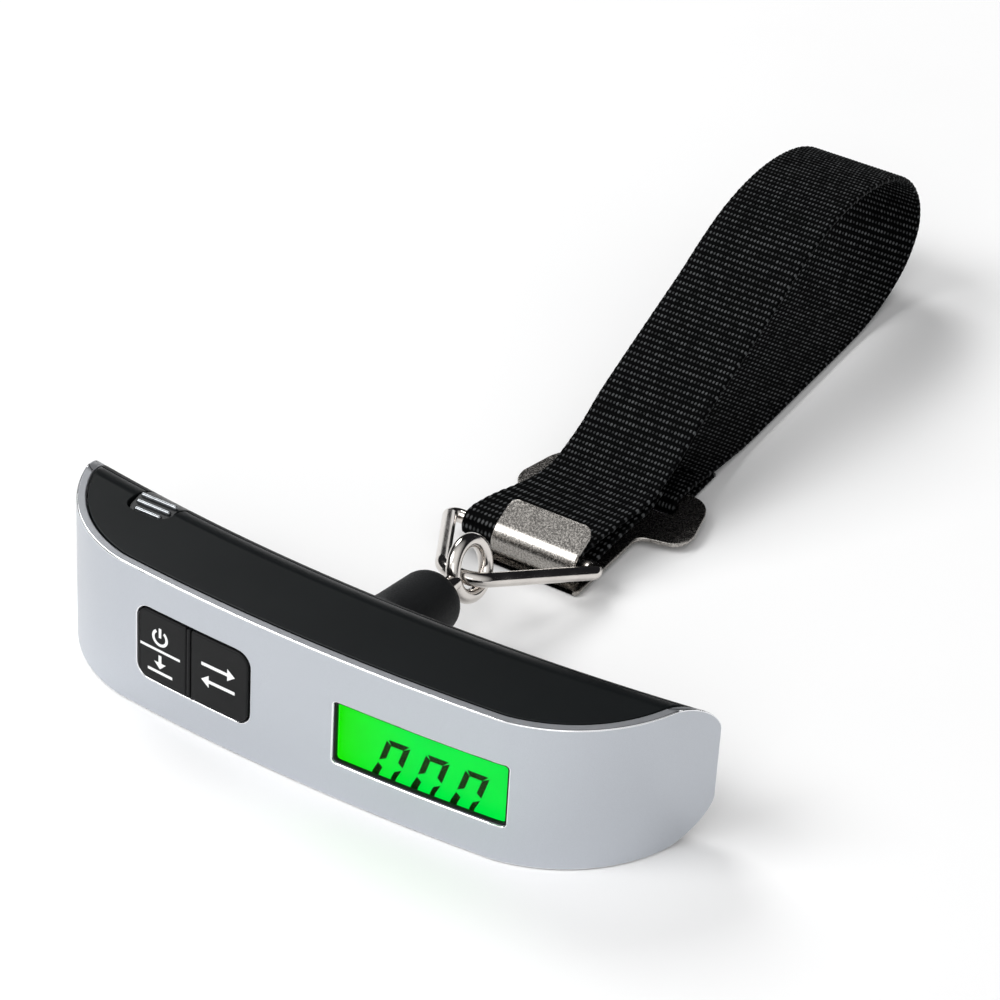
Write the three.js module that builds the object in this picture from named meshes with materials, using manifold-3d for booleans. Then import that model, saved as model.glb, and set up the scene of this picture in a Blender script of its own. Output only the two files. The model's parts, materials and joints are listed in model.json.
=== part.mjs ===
// Digital luggage scale: a bowed body with two keys and a display, a neck that carries a wire eye,
// a wire triangle, a sheet steel hook plate and a loop of nylon webbing.
// Millimetres, +Z up. The body runs along X, its front faces -Y and the strap lies toward +Y.
// The origin is under the middle of the whole object's box, on the surface it stands on.
import * as THREE from 'three';
import { mergeVertices } from 'three/addons/utils/BufferGeometryUtils.js';
import Module from 'manifold-3d';

const wasm = await Module();
wasm.setup();

// ---------------------------------------------------------------- driving dimensions
const degree = Math.PI / 180;
const gap = 0.3;                      // clearance between pieces that touch
const length = 150;                   // body, end to end
const height = 33.5;                  // body, floor to top face
const frontBow = 35.8;                // front face ahead of the band's rear tips
const rearHollow = 6.3;               // how far the middle of the back lies ahead of the tips
const wall = 2;                       // band and panels
const webWidth = 25.4;                // one inch webbing
const webThickness = 1.5;
const wire = 3.2;                      // eye and triangle wire diameter
const originY = 90.55;                // middle of the object's box, from the band's rear tips

const middleZ = height / 2;
// front outline: three arcs each side, radius and how far each turns
const outlineArcs = [
  { radius: 458, turn: 5.5 * degree },
  { radius: 20, turn: 9.4 * degree },
  { radius: 34.3, turn: 54.2 * degree },
];
const rearRadius = ((length / 2) ** 2 + rearHollow ** 2) / (2 * rearHollow);
const rearCentreY = rearRadius - rearHollow;
const edgeRun = 10.7;                 // rear edge rounding, measured into the body
const edgeDrop = 8.6;                 // rear edge rounding, measured down
const edgePower = 1.63;               // 1 is a chamfer, 2 is an ellipse
const partingRun = 6.3;               // panel to rear cover joint, from the back

// ---------------------------------------------------------------- solids and booleans
function solid(geometry) {
  const bare = geometry.index ? geometry.toNonIndexed() : geometry.clone();
  bare.deleteAttribute('normal');
  bare.deleteAttribute('uv');
  const merged = mergeVertices(bare, 1e-4);
  const mesh = new wasm.Mesh({
    numProp: 3,
    vertProperties: new Float32Array(merged.attributes.position.array),
    triVerts: new Uint32Array(merged.index.array),
  });
  return new wasm.Manifold(mesh);
}

function geometryOf(manifold) {
  const mesh = manifold.getMesh();
  const geometry = new THREE.BufferGeometry();
  geometry.setAttribute('position', new THREE.BufferAttribute(new Float32Array(mesh.vertProperties), 3));
  geometry.setIndex(new THREE.BufferAttribute(new Uint32Array(mesh.triVerts), 1));
  geometry.computeVertexNormals();
  return geometry;
}

function box(low, high) {
  const size = high.map((value, axis) => value - low[axis]);
  const geometry = new THREE.BoxGeometry(...size);
  geometry.translate(...low.map((value, axis) => value + size[axis] / 2));
  return solid(geometry);
}

// a body of revolution about an axis parallel to Y through (x, z); profile is [radius, y] pairs
function turned(profile, x = 0, z = middleZ, segments = 32) {
  const points = profile.map(([radius, y]) => new THREE.Vector2(radius, y));
  const geometry = new THREE.LatheGeometry(points, segments);
  geometry.translate(x, 0, z);
  return solid(geometry);
}

function rod(radius, y0, y1, x = 0, z = middleZ, segments = 24) {
  return turned([[0, y0], [radius, y0], [radius, y1], [0, y1]], x, z, segments);
}

function prism(shape, z0, z1, curveSegments = 5) {
  const geometry = new THREE.ExtrudeGeometry(shape, { depth: z1 - z0, bevelEnabled: false, curveSegments });
  geometry.translate(0, 0, z0);
  return solid(geometry);
}

function roundedRectangle(x0, y0, x1, y1, radius) {
  const shape = new THREE.Shape();
  shape.moveTo(x0 + radius, y0);
  shape.lineTo(x1 - radius, y0);
  shape.absarc(x1 - radius, y0 + radius, radius, -Math.PI / 2, 0);
  shape.lineTo(x1, y1 - radius);
  shape.absarc(x1 - radius, y1 - radius, radius, 0, Math.PI / 2);
  shape.lineTo(x0 + radius, y1);
  shape.absarc(x0 + radius, y1 - radius, radius, Math.PI / 2, Math.PI);
  shape.lineTo(x0, y0 + radius);
  shape.absarc(x0 + radius, y0 + radius, radius, Math.PI, Math.PI * 1.5);
  return shape;
}

// a block whose outline is drawn in X and Z and which runs from y0 to y1
function frontBlock(shape, y0, y1, curveSegments = 6) {
  const geometry = new THREE.ExtrudeGeometry(shape, { depth: y1 - y0, bevelEnabled: false, curveSegments });
  geometry.rotateX(Math.PI / 2);
  geometry.translate(0, y1, 0);
  return solid(geometry);
}

// ---------------------------------------------------------------- the body's envelope
// arc centres of the front outline, right side, worked out so that neighbours are tangent
function arcCentres() {
  const centres = [];
  let angle = 0;
  let x = 0;
  let y = -frontBow + outlineArcs[0].radius;
  outlineArcs.forEach((arc, index) => {
    if (index > 0) {
      const step = outlineArcs[index - 1].radius - arc.radius;
      x += step * Math.sin(angle);
      y -= step * Math.cos(angle);
    }
    centres.push({ x, y, radius: arc.radius, from: angle, to: angle + arc.turn });
    angle += arc.turn;
  });
  return centres;
}

// outline of the front and ends, moved in by inset and carried on behind the body
function outline(inset) {
  const behind = 12;
  const down = -Math.PI / 2;
  const arcs = arcCentres();
  const last = arcs[arcs.length - 1];
  const endX = last.x + (last.radius - inset) * Math.sin(last.to);
  const endY = last.y - (last.radius - inset) * Math.cos(last.to);
  const reach = (behind - endY) / Math.sin(last.to);
  const shape = new THREE.Shape();
  shape.moveTo(-endX - reach * Math.cos(last.to), behind);
  shape.lineTo(-endX, endY);
  for (const arc of [...arcs].reverse()) {
    shape.absarc(-arc.x, arc.y, arc.radius - inset, down - arc.to, down - arc.from);
  }
  for (const arc of arcs) {
    shape.absarc(arc.x, arc.y, arc.radius - inset, down + arc.from, down + arc.to);
  }
  shape.lineTo(endX + reach * Math.cos(last.to), behind);
  return shape;
}

// height lost by the rounded rear edge at a distance run from the back
function edgeLoss(run, inset) {
  const share = Math.min(Math.max((edgeRun - run) / (edgeRun - inset), 0), 1);
  return (edgeDrop - inset) * (1 - (1 - share ** edgePower) ** (1 / edgePower));
}

// bends a shape drawn in (distance from the back, z) along the hollow back of the body
function alongBack(shape, fromX = -80, toX = 80, steps = 16) {
  const geometry = new THREE.ExtrudeGeometry(shape, {
    depth: toX - fromX, bevelEnabled: false, steps, curveSegments: 6,
  });
  const position = geometry.attributes.position;
  for (let index = 0; index < position.count; index += 1) {
    const radius = rearRadius + position.getX(index);
    const angle = (toX - position.getZ(index)) / rearRadius;
    const z = position.getY(index);
    position.setXYZ(index, radius * Math.sin(angle), rearCentreY - radius * Math.cos(angle), z);
  }
  return solid(geometry);
}

function edgeCurve(inset, count = 6) {
  const points = [];
  for (let index = 0; index <= count; index += 1) {
    const turn = (index / count) * (Math.PI / 2);
    const run = edgeRun - (edgeRun - inset) * Math.cos(turn) ** (2 / edgePower);
    points.push([run, edgeLoss(run, inset)]);
  }
  return points;
}

// everything ahead of the back, with rounded upper and lower rear edges
function envelope(inset) {
  const deep = 60;
  const rounding = edgeCurve(inset);
  const shape = new THREE.Shape();
  shape.moveTo(deep, inset);
  [...rounding].reverse().forEach(([run, loss]) => shape.lineTo(run, inset + loss));
  rounding.forEach(([run, loss]) => shape.lineTo(run, height - inset - loss));
  shape.lineTo(deep, height - inset);
  return alongBack(shape);
}

function band(run0, run1, z0, z1, fromX = -80, toX = 80) {
  const shape = new THREE.Shape();
  shape.moveTo(run0, z0);
  shape.lineTo(run1, z0);
  shape.lineTo(run1, z1);
  shape.lineTo(run0, z1);
  return alongBack(shape, fromX, toX);
}

const over = 1;                       // how far a cutter runs past the face it cuts
const insideBand = prism(outline(wall + gap), -over, height + over);
const outerEnvelope = envelope(0);
const innerEnvelope = envelope(wall);

// front face of the band at x, between the first arcs
function frontY(x, inset = 0) {
  const { radius, y } = arcCentres()[0];
  return y - Math.sqrt((radius - inset) ** 2 - x * x);
}

// ---------------------------------------------------------------- keys and display, in the front
const keys = { x0: -40, x1: -11.1, z0: 8.1, z1: 25.4, corner: 3.2, split: -26.3, travel: 0.6 };
const display = { x0: 8.8, x1: 47.5, z0: 8.6, z1: 23.2, corner: 0.9 };
const displayX = (display.x0 + display.x1) / 2;
const displayTurn = Math.asin(displayX / outlineArcs[0].radius);
const boardY = -24.4;                  // front of the circuit board

function bandShell() {
  const ring = prism(outline(0), 0, height, 8)
    .subtract(prism(outline(wall), -over, height + over, 8))
    .intersect(outerEnvelope);
  const cutFrom = -frontBow - 4;
  const cutTo = frontY(display.x1, wall) + 3;
  const keyHole = frontBlock(roundedRectangle(keys.x0, keys.z0, keys.x1, keys.z1, keys.corner), cutFrom, cutTo);
  const window = frontBlock(
    roundedRectangle(display.x0, display.z0, display.x1, display.z1, display.corner), cutFrom, cutTo);
  return ring.subtract(keyHole).subtract(window);
}

const keyZ = (keys.z0 + keys.z1) / 2;
const domeHeight = 2;
const domeFront = boardY - gap - domeHeight;

// one rubber key: a button a little proud of the band, a flange behind the wall and a plunger
function key(x0, x1, reachLeft, reachRight) {
  const proud = 0.4;
  const flangeFront = wall + gap + keys.travel - 0.2;
  const flangeBack = flangeFront + 1.4;
  const face = roundedRectangle(
    keys.x0 + gap, keys.z0 + gap, keys.x1 - gap, keys.z1 - gap, keys.corner - gap);
  const buttonSkin = prism(outline(-proud), 0, height)
    .subtract(prism(outline(flangeFront + 0.3), -over, height + over));
  const button = frontBlock(face, -frontBow - 2, -frontBow + 8).intersect(buttonSkin)
    .intersect(box([x0, -60, 0], [x1, 0, height]));
  const flange = prism(outline(flangeFront), 0, height)
    .subtract(prism(outline(flangeBack), -over, height + over))
    .intersect(box([x0 - reachLeft, -60, keys.z0 - 1], [x1 + reachRight, 0, keys.z1 + 1]));
  const middle = (x0 + x1) / 2;
  const plungerRoot = frontY(middle, flangeBack) - 0.5;
  const plunger = rod(1.5, plungerRoot, domeFront - keys.travel - 0.1, middle, keyZ, 16);
  return button.add(flange).add(plunger);
}

function keyDome(x) {
  const y = boardY - gap;
  return turned([[0, domeFront], [1.6, domeFront], [3, y], [0, y]], x, keyZ, 20);
}

// a plate that lies behind the display opening, depth deep from its front face
function displayPlate(halfWidth, z0, z1, front, depth) {
  const plate = new THREE.BoxGeometry(halfWidth * 2, depth, z1 - z0);
  plate.translate(0, front + depth / 2, (z0 + z1) / 2);
  plate.rotateZ(displayTurn);
  plate.translate(displayX, frontY(displayX, wall), 0);
  return solid(plate);
}

// fronts of the display's layers, behind the band's inner face: the lens fills the opening
const lensFront = -0.6;
const lensDepth = 0.9;
const glassFront = lensFront + lensDepth + 0.8;
const glassDepth = 1.4;
const guideFront = glassFront + glassDepth + gap;
const displayMargin = 1.4;
const displayHalf = (display.x1 - display.x0) / 2;

function lcdLens() {
  return displayPlate(displayHalf - gap, display.z0 + gap, display.z1 - gap, lensFront, lensDepth);
}

function lcdGlass() {
  return displayPlate(
    displayHalf + gap, display.z0 - displayMargin, display.z1 + displayMargin, glassFront, glassDepth);
}

function backlight() {
  return displayPlate(displayHalf + gap, display.z0 + 2, display.z1 + displayMargin, guideFront, 2);
}

function zebraStrip() {
  return displayPlate(displayHalf - 2, display.z0 - displayMargin, display.z0 + 1.4, guideFront, 1.6);
}

// ---------------------------------------------------------------- electronics and chassis
const board = { x0: -44, x1: 52, z0: 5.5, z1: 28, depth: 1.2 };
const boardHoles = [[-11, 8], [11, 25]];
const frameY = boardY + board.depth + 2.2;
const screwHeadRadius = 2.3;

function circuitBoard() {
  let plate = box([board.x0, boardY, board.z0], [board.x1, boardY + board.depth, board.z1]);
  for (const [x, z] of boardHoles) {
    plate = plate.subtract(rod(1.3, boardY - over, boardY + 3, x, z, 16));
  }
  return plate;
}

function chipBlob() {
  const y = boardY + board.depth + gap;
  return turned([[0, y], [5, y], [4.4, y + 1], [2.6, y + 1.7], [0, y + 1.9]], 28, 18, 20);
}

function boardScrew([x, z]) {
  const y = boardY - gap;
  return turned([[0, y - 1.4], [2, y - 1.4], [2, y], [0.95, y], [0.95, y + 6], [0, y + 6]], x, z, 16);
}

const beam = { half: 40, y0: -18, y1: -11.6, z0: 10.4, z1: 23.1 };
const beamPost = 34;

// moulded chassis: a back plate behind the board, standoffs for it, and arms round the load cell
function innerFrame() {
  const plateBack = frameY + 1.6;
  let frame = box([-62, frameY, 4], [62, plateBack, 28.8]);
  for (const [x, z] of boardHoles) {
    frame = frame.add(rod(2.6, boardY + board.depth + gap, frameY + 0.1, x, z, 20));
    frame = frame.subtract(rod(1.25, boardY, plateBack + over, x, z, 16));
  }
  for (const x of [-beamPost, beamPost]) {
    frame = frame.subtract(box([x - 4, frameY - over, beam.z0 - 2], [x + 4, plateBack + over, beam.z1 + 2]));
  }
  frame = frame.subtract(box([-7, frameY - over, middleZ - 7], [7, plateBack + over, middleZ + 7]));
  for (const [x, z] of caseScrews) {
    frame = frame.add(rod(bossRadius, plateBack - 0.1, caseScrewTip(x), x, z, 20));
    frame = frame.subtract(rod(1.35, plateBack - 0.5, caseScrewTip(x) + over, x, z, 16));
  }
  return frame;
}

// aluminium bending beam with its two joined bores, held at the ends and pulled in the middle
function loadCell() {
  let bar = box([-beam.half, beam.y0, beam.z0], [beam.half, beam.y1, beam.z1]);
  for (const side of [-1, 1]) {
    for (const along of [13, 21]) {
      const bore = new THREE.CylinderGeometry(2.1, 2.1, 30, 20);
      bore.rotateX(Math.PI / 2);
      bore.translate(side * along, (beam.y0 + beam.y1) / 2, middleZ);
      bar = bar.subtract(solid(bore));
    }
    const lower = Math.min(side * 13, side * 21);
    bar = bar.subtract(box([lower, -15.4, beam.z0 - over], [lower + 8, -14.2, beam.z1 + over]));
    bar = bar.subtract(rod(1.9, beam.y0 - over, beam.y1 + over, side * beamPost, middleZ, 20));
  }
  return bar.subtract(rod(shank.radius + gap, beam.y0 - over, beam.y1 + over));
}

function loadCellScrew(side) {
  const head = beam.y0 - gap;
  const profile = [[0, head - 2.2], [3, head - 2.2], [3, head], [1.5, head], [1.5, beam.y1 + 3], [0, beam.y1 + 3]];
  return turned(profile, side * beamPost, middleZ, 20);
}

function gaugeCover() {
  return box([11, beam.y0 - 1, 13], [23, beam.y0 - gap, 20.5]);
}

// four joined leads from the gauges to the board
function gaugeLead() {
  const behindBeam = beam.y0 - 0.7;
  const behindBoard = boardY + board.depth + 1.1;
  const route = new THREE.CatmullRomCurve3([
    new THREE.Vector3(17, behindBeam, 21.4),
    new THREE.Vector3(17, behindBeam, 25),
    new THREE.Vector3(20, behindBeam, 28.6),
    new THREE.Vector3(26, behindBeam - 1.4, 30.5),
    new THREE.Vector3(34, behindBoard + 1, 30.6),
    new THREE.Vector3(40, behindBoard, 29.6),
    new THREE.Vector3(43, behindBoard, 26.6),
  ]);
  const section = new THREE.Shape();
  section.absarc(0, 0, 0.5, 0, Math.PI * 2);
  return solid(new THREE.ExtrudeGeometry(section, { steps: 24, curveSegments: 4, extrudePath: route }));
}

// ---------------------------------------------------------------- battery, its tray and its door
const door = { x0: -63.5, x1: -40.5, z0: 5.6, z1: 27.4, corner: 3, tongueX0: -56, tongueX1: -46, tongueY: -17.4 };
const cell = { x: -52, radius: 10, depth: 3.2 };

function backAt(x) {
  return rearCentreY - Math.sqrt(rearRadius ** 2 - x * x);
}

const cellY = backAt(cell.x) - wall - 1.2 - cell.depth;

function coinCell() {
  const y0 = cellY;
  const y1 = cellY + cell.depth;
  const profile = [[0, y0], [8.8, y0], [9.1, y0 + 0.5], [9.7, y0 + 0.6], [cell.radius, y0 + 0.9], [cell.radius, y1], [0, y1]];
  return turned(profile, cell.x, middleZ, 40);
}

function batteryTray() {
  const back = cellY - 2.2;
  let tray = box([cell.x - 11.6, back, 5.8], [cell.x + 11.6, cellY + 1.4, 27.7]);
  tray = tray.subtract(rod(cell.radius + gap, cellY - 1, cellY + 10, cell.x, middleZ, 40));
  tray = tray.subtract(rod(4.6, back - over, cellY, cell.x, middleZ, 24));
  return tray.subtract(box([cell.x + 9, back - over, middleZ - 3.2], [cell.x + 13, cellY + 10, middleZ + 3.2]));
}

// a leaf that presses on the cell's inner face through the tray's window
function contactNegative() {
  const y = cellY - 2.2;
  const leaf = box([cell.x - 3.4, y, middleZ - 2], [cell.x + 3.4, y + 0.5, middleZ + 2]);
  return leaf.add(rod(1.6, y + 0.4, cellY - gap, cell.x, middleZ, 16));
}

// a clip that touches the rim of the cell through the tray's side
function contactPositive() {
  const x = cell.x + cell.radius + gap;
  const clip = box([x, cellY - 1.8, middleZ - 2.6], [x + 0.5, cellY + 2.2, middleZ + 2.6]);
  return clip.add(box([x, cellY - 1.8, middleZ - 2.6], [x + 1.9, cellY - 1.3, middleZ + 2.6]));
}

const tongueCorner = 2.6;
const gripGrooves = [-15.6, -14, -12.4];

// the part of the door that comes over the top edge, seen from above
function doorTongue(margin) {
  const shape = new THREE.Shape();
  const arcY = door.tongueY + tongueCorner;
  shape.moveTo(door.tongueX0 - margin, 8);
  shape.lineTo(door.tongueX0 - margin, arcY);
  shape.absarc(door.tongueX0 + tongueCorner, arcY, tongueCorner + margin, Math.PI, Math.PI * 1.5);
  shape.absarc(door.tongueX1 - tongueCorner, arcY, tongueCorner + margin, Math.PI * 1.5, Math.PI * 2);
  shape.lineTo(door.tongueX1 + margin, 8);
  return prism(shape, door.z1 - 3, height + over);
}

// the part of the door in the back
function doorPlate(margin) {
  const shape = roundedRectangle(
    door.x0 - margin, door.z0 - margin, door.x1 + margin, door.z1 + margin, door.corner);
  return frontBlock(shape, backAt(cell.x) - 6, 12);
}

function batteryDoor() {
  const skin = outerEnvelope.subtract(innerEnvelope);
  let whole = skin.intersect(doorPlate(0)).add(skin.intersect(doorTongue(0)));
  for (const y of gripGrooves) {
    const groove = new THREE.CylinderGeometry(0.55, 0.55, 8, 10);
    groove.rotateZ(Math.PI / 2);
    groove.translate((door.tongueX0 + door.tongueX1) / 2, y, height + 0.15);
    whole = whole.subtract(solid(groove));
  }
  return whole;
}

// ---------------------------------------------------------------- panels and rear cover
function topPanel() {
  const region = band(partingRun + gap / 2, 60, height - 4, height + over)
    .add(band(1.4, 60, height - 7, height + over, -80, door.tongueX1 - 1));
  return outerEnvelope.subtract(innerEnvelope).intersect(insideBand).intersect(region)
    .subtract(doorTongue(gap)).subtract(doorPlate(gap));
}

function bottomPanel() {
  const region = band(partingRun + gap / 2, 60, -over, 4);
  return outerEnvelope.subtract(innerEnvelope).intersect(insideBand).intersect(region);
}

const caseScrews = [[-25, middleZ - 9.3], [-25, middleZ + 9.3], [25, middleZ - 9.3], [58, middleZ]];
const bossRadius = 2.6;
const headSink = 1.4;

function caseScrewTip(x) {
  return backAt(x) - 4.5;
}

function caseScrew([x, z]) {
  const face = backAt(x) - headSink;
  const profile = [
    [0, face - 8], [1.1, face - 8], [1.1, face - 1.6], [screwHeadRadius, face - 1.4],
    [screwHeadRadius, face - 0.3], [screwHeadRadius - 0.4, face], [0, face],
  ];
  const slot = [box([x - 1.6, face - 0.7, z - 0.3], [x + 1.6, face + over, z + 0.3]),
    box([x - 0.3, face - 0.7, z - 1.6], [x + 0.3, face + over, z + 1.6])];
  return turned(profile, x, z, 20).subtract(slot[0]).subtract(slot[1]);
}

const neck = { root: 9.4, radius: 7.8, tip: 7.1, end: 15.3, round: 3.8, bore: 4.3, mouth: 2.4 };
const boreEnd = neck.end - 2.2;
const shank = { radius: 1.9 };

// outside of the neck: a flared root, a slight taper and a blunt rounded end
function neckOutside() {
  const straight = neck.end - 4.6;
  const profile = [[0, -8], [neck.root + 1.4, -8], [neck.root, -5.4], [7.7, -3], [neck.radius, 1], [neck.tip, straight]];
  for (let step = 1; step <= 6; step += 1) {
    const turn = (step / 6) * (Math.PI / 2);
    const radius = neck.tip - neck.round * (1 - Math.cos(turn));
    profile.push([radius, straight + (neck.end - straight) * Math.sin(turn)]);
  }
  profile.push([0, neck.end]);
  return turned(profile, 0, middleZ, 28);
}

function rearCover() {
  const region = band(-1, partingRun - gap / 2, -over, height + over, door.tongueX1 - 0.7, 80)
    .add(band(-1, 1.1, -over, height + over))
    .add(band(-1, partingRun - gap / 2, -over, height - 7.5));
  let cover = outerEnvelope.subtract(innerEnvelope).intersect(insideBand).intersect(region);
  cover = cover.subtract(doorPlate(gap)).subtract(doorTongue(gap));
  cover = cover.add(neckOutside());
  for (const side of [-1, 1]) {
    const root = backAt(beamPost) - wall + 0.5;
    cover = cover.add(rod(5, beam.y1 + gap, root, side * beamPost, middleZ, 24));
    cover = cover.subtract(rod(1.6, beam.y1 - over, beam.y1 + 3.4, side * beamPost, middleZ, 16));
  }
  for (const [x, z] of caseScrews) {
    cover = cover.add(rod(3.9, caseScrewTip(x) + gap, backAt(x) - 1, x, z, 24).intersect(outerEnvelope));
    cover = cover.subtract(rod(screwHeadRadius + gap, backAt(x) - headSink - 1.9, 8, x, z, 24));
    cover = cover.subtract(rod(1.5, caseScrewTip(x) - over, 8, x, z, 16));
  }
  cover = cover.subtract(rod(neck.bore, -12, boreEnd));
  return cover.subtract(rod(neck.mouth, 10, neck.end + over));
}

function neckBush() {
  const inner = shank.radius + gap;
  const outer = neck.bore - gap;
  const profile = [[inner, -7.6], [outer, -7.6], [outer, boreEnd - gap], [inner, boreEnd - gap]];
  return turned([...profile, profile[0]], 0, middleZ, 32);
}

// ---------------------------------------------------------------- eye, triangle, hook and strap
const eye = { radius: 5.9, y: 26.7, lean: -16 * degree };
const bar = { x: -4.7, y: 57, z: 5.2 };   // middle of the triangle's far bar
const apex = { x: -1.7, y: 24.9, z: 15.4 };
const nutDepth = 3.4;

// wire eye with its shank, drawn upright; the group that holds it leans it over
function pullEye() {
  const ring = new THREE.TorusGeometry(eye.radius, wire / 2, 10, 30);
  ring.rotateY(Math.PI / 2);
  ring.translate(0, eye.y, 0);
  const stem = rod(shank.radius, beam.y0 - nutDepth - 1.5, eye.y - eye.radius, 0, 0, 24);
  return solid(ring).add(stem);
}

function pullNut() {
  const hexagon = new THREE.CylinderGeometry(4.1, 4.1, nutDepth, 6);
  hexagon.translate(0, beam.y0 - gap - nutDepth / 2, 0);
  return solid(hexagon).subtract(rod(shank.radius + 0.1, beam.y0 - 8, beam.y0 + 2, 0, 0, 24));
}

const reach = Math.hypot(bar.y - apex.y, bar.z - apex.z);

// corner arcs of a triangle drawn in its own plane, apex at the origin and far bar along x at y = reach
function triangleCorners() {
  const half = 24.6 * degree;         // half the angle at the apex
  const apexRadius = 6.3;
  const cornerRadius = 2;
  const sharp = apexRadius * (1 / Math.sin(half) - 1);
  const halfBar = (reach + sharp) * Math.tan(half);
  const cornerX = halfBar - cornerRadius / Math.tan((Math.PI / 2 - half) / 2);
  const cornerY = reach - cornerRadius;
  return [
    { x: 0, y: apexRadius, radius: apexRadius, from: half - Math.PI, to: -half },
    { x: cornerX, y: cornerY, radius: cornerRadius, from: -half, to: Math.PI / 2 },
    { x: -cornerX, y: cornerY, radius: cornerRadius, from: Math.PI / 2, to: Math.PI + half },
  ];
}

function triangleRing() {
  const route = new THREE.CurvePath();
  const corners = triangleCorners();
  corners.forEach((corner, index) => {
    const next = corners[(index + 1) % corners.length];
    const { x, y, radius, from, to } = corner;
    const arc = new THREE.ArcCurve(x, y, radius, from, to, false);
    route.add(arc);
    route.add(new THREE.LineCurve(arc.getPoint(1), new THREE.ArcCurve(
      next.x, next.y, next.radius, next.from, next.to, false).getPoint(0)));
  });
  const points = [];
  const count = 72;
  for (let index = 0; index < count; index += 1) {
    const point = route.getPointAt(index / count);
    const slack = (bar.x - apex.x) * point.y / reach;     // the ring hangs a little to the left
    points.push(new THREE.Vector3(point.x + slack, point.y, 0));
  }
  const section = new THREE.Shape();
  section.absarc(0, 0, wire / 2, 0, Math.PI * 2);
  const geometry = new THREE.ExtrudeGeometry(section, {
    steps: 60, curveSegments: 5, extrudePath: new THREE.CatmullRomCurve3(points, true, 'centripetal'),
  });
  geometry.rotateX(Math.atan2(bar.z - apex.z, bar.y - apex.y));
  geometry.translate(apex.x, apex.y, apex.z);
  return solid(geometry);
}

// the hook plate is drawn flat and then tipped about the bar, so its front is down on the surface
const plate = {
  x: -0.3, thick: 1.1, tilt: 2.7 * degree, front: 51.6, half: 12, earHalf: 22.1, earFront: 75, back: 97,
};
const slot = { half: 14, y0: 87.6, y1: 92 };
const curl = wire / 2 + gap + webThickness + gap;     // inner radius of the tongue's curl about the bar
const tongue = { half: 10.4, slope: 25 * degree, straight: 6.7 };
const plateTop = bar.z - curl;
const plateBottom = plateTop - plate.thick;

// plan of the flat part: straight sides, and a rounded ear each side at the back
function plateOutline() {
  const side = new THREE.Path();
  side.moveTo(plate.half - 0.8, plate.front);
  side.lineTo(plate.half, plate.front + 0.8);
  side.lineTo(plate.half, plate.earFront - 2.5);
  side.quadraticCurveTo(plate.half, plate.earFront, plate.half + 2.5, plate.earFront + 0.4);
  side.lineTo(plate.earHalf - 4, plate.earFront + 1.2);
  side.quadraticCurveTo(plate.earHalf, plate.earFront + 2, plate.earHalf, plate.earFront + 7);
  side.lineTo(plate.earHalf - 1.4, plate.back - 7);
  side.quadraticCurveTo(plate.earHalf - 2.6, plate.back, plate.earHalf - 8, plate.back);
  const right = side.getPoints(6);
  const left = right.map((point) => new THREE.Vector2(-point.x, point.y)).reverse();
  return new THREE.Shape([...right, ...left]);
}

// the tongue: up in front of the bar, over it, and on upward at its slope
function tongueSection() {
  const leave = Math.PI / 2 + tongue.slope;
  const along = new THREE.Vector2(Math.cos(tongue.slope), Math.sin(tongue.slope)).multiplyScalar(tongue.straight);
  const outer = curl + plate.thick;
  const atLeave = (radius) => new THREE.Vector2(bar.y + radius * Math.cos(leave), bar.z + radius * Math.sin(leave));
  const innerTip = atLeave(curl).add(along);
  const outerTip = atLeave(outer).add(along);
  const shape = new THREE.Shape();
  shape.moveTo(bar.y + 4, plateBottom);
  shape.lineTo(bar.y + 4, plateTop);
  shape.lineTo(bar.y, plateTop);
  shape.absarc(bar.y, bar.z, curl, -Math.PI / 2, leave, true);
  shape.lineTo(innerTip.x, innerTip.y);
  shape.lineTo(outerTip.x, outerTip.y);
  shape.lineTo(atLeave(outer).x, atLeave(outer).y);
  shape.absarc(bar.y, bar.z, outer, leave, -Math.PI / 2, false);
  return shape;
}

// a profile drawn in (y, z), carried across the width and centred on x = 0
function acrossWidth(shape, width, curveSegments) {
  const geometry = new THREE.ExtrudeGeometry(shape, { depth: width, bevelEnabled: false, curveSegments });
  geometry.rotateX(Math.PI / 2);
  geometry.rotateZ(Math.PI / 2);
  geometry.translate(-width / 2, 0, 0);
  return geometry;
}

function hookPlate() {
  const flat = new THREE.ExtrudeGeometry(
    plateOutline(), { depth: plate.thick, bevelEnabled: false, curveSegments: 8 });
  flat.translate(0, 0, plateBottom);
  let whole = solid(flat);
  const relief = tongue.half + 0.4;
  const below = plateBottom - over;
  whole = whole.subtract(box([-relief, plate.front - over, below], [relief, bar.y, plateTop + over]));
  whole = whole.subtract(box([-slot.half, slot.y0, below], [slot.half, slot.y1, plateTop + over]));
  whole = whole.add(solid(acrossWidth(tongueSection(), tongue.half * 2, 10)));
  return whole.translate([plate.x, -bar.y, -bar.z]).rotate([plate.tilt / degree, 0, 0]).translate([0, bar.y, bar.z]);
}

// where a point of the flat drawing of the plate comes to when it is tipped, as [y, z]
function tipped(y, z) {
  const turned = new THREE.Vector2(y, z).rotateAround(new THREE.Vector2(bar.y, bar.z), plate.tilt);
  return [turned.x, turned.y];
}

// the webbing's route seen from the side, as [y, z] of its middle plane: from the stitched end A under
// the bar, up and over to the far bend, and back along the surface to end B in the hook plate's slot
const wrap = wire / 2 + gap + webThickness / 2;
const barSpread = 29.2;                // its width on the bar
const [foldY, foldZ] = tipped(slot.y1, (plateBottom + plateTop) / 2);
const foldRise = plate.thick / 2 + gap + webThickness / 2;

// [y, z] points of a half turn about a centre
function halfTurn(y, z, radius, from, step) {
  const points = [];
  for (let index = 0; index <= 8; index += 1) {
    const angle = from + step * index * (Math.PI / 8);
    points.push([y + radius * Math.cos(angle), z + radius * Math.sin(angle)]);
  }
  return points;
}

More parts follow.
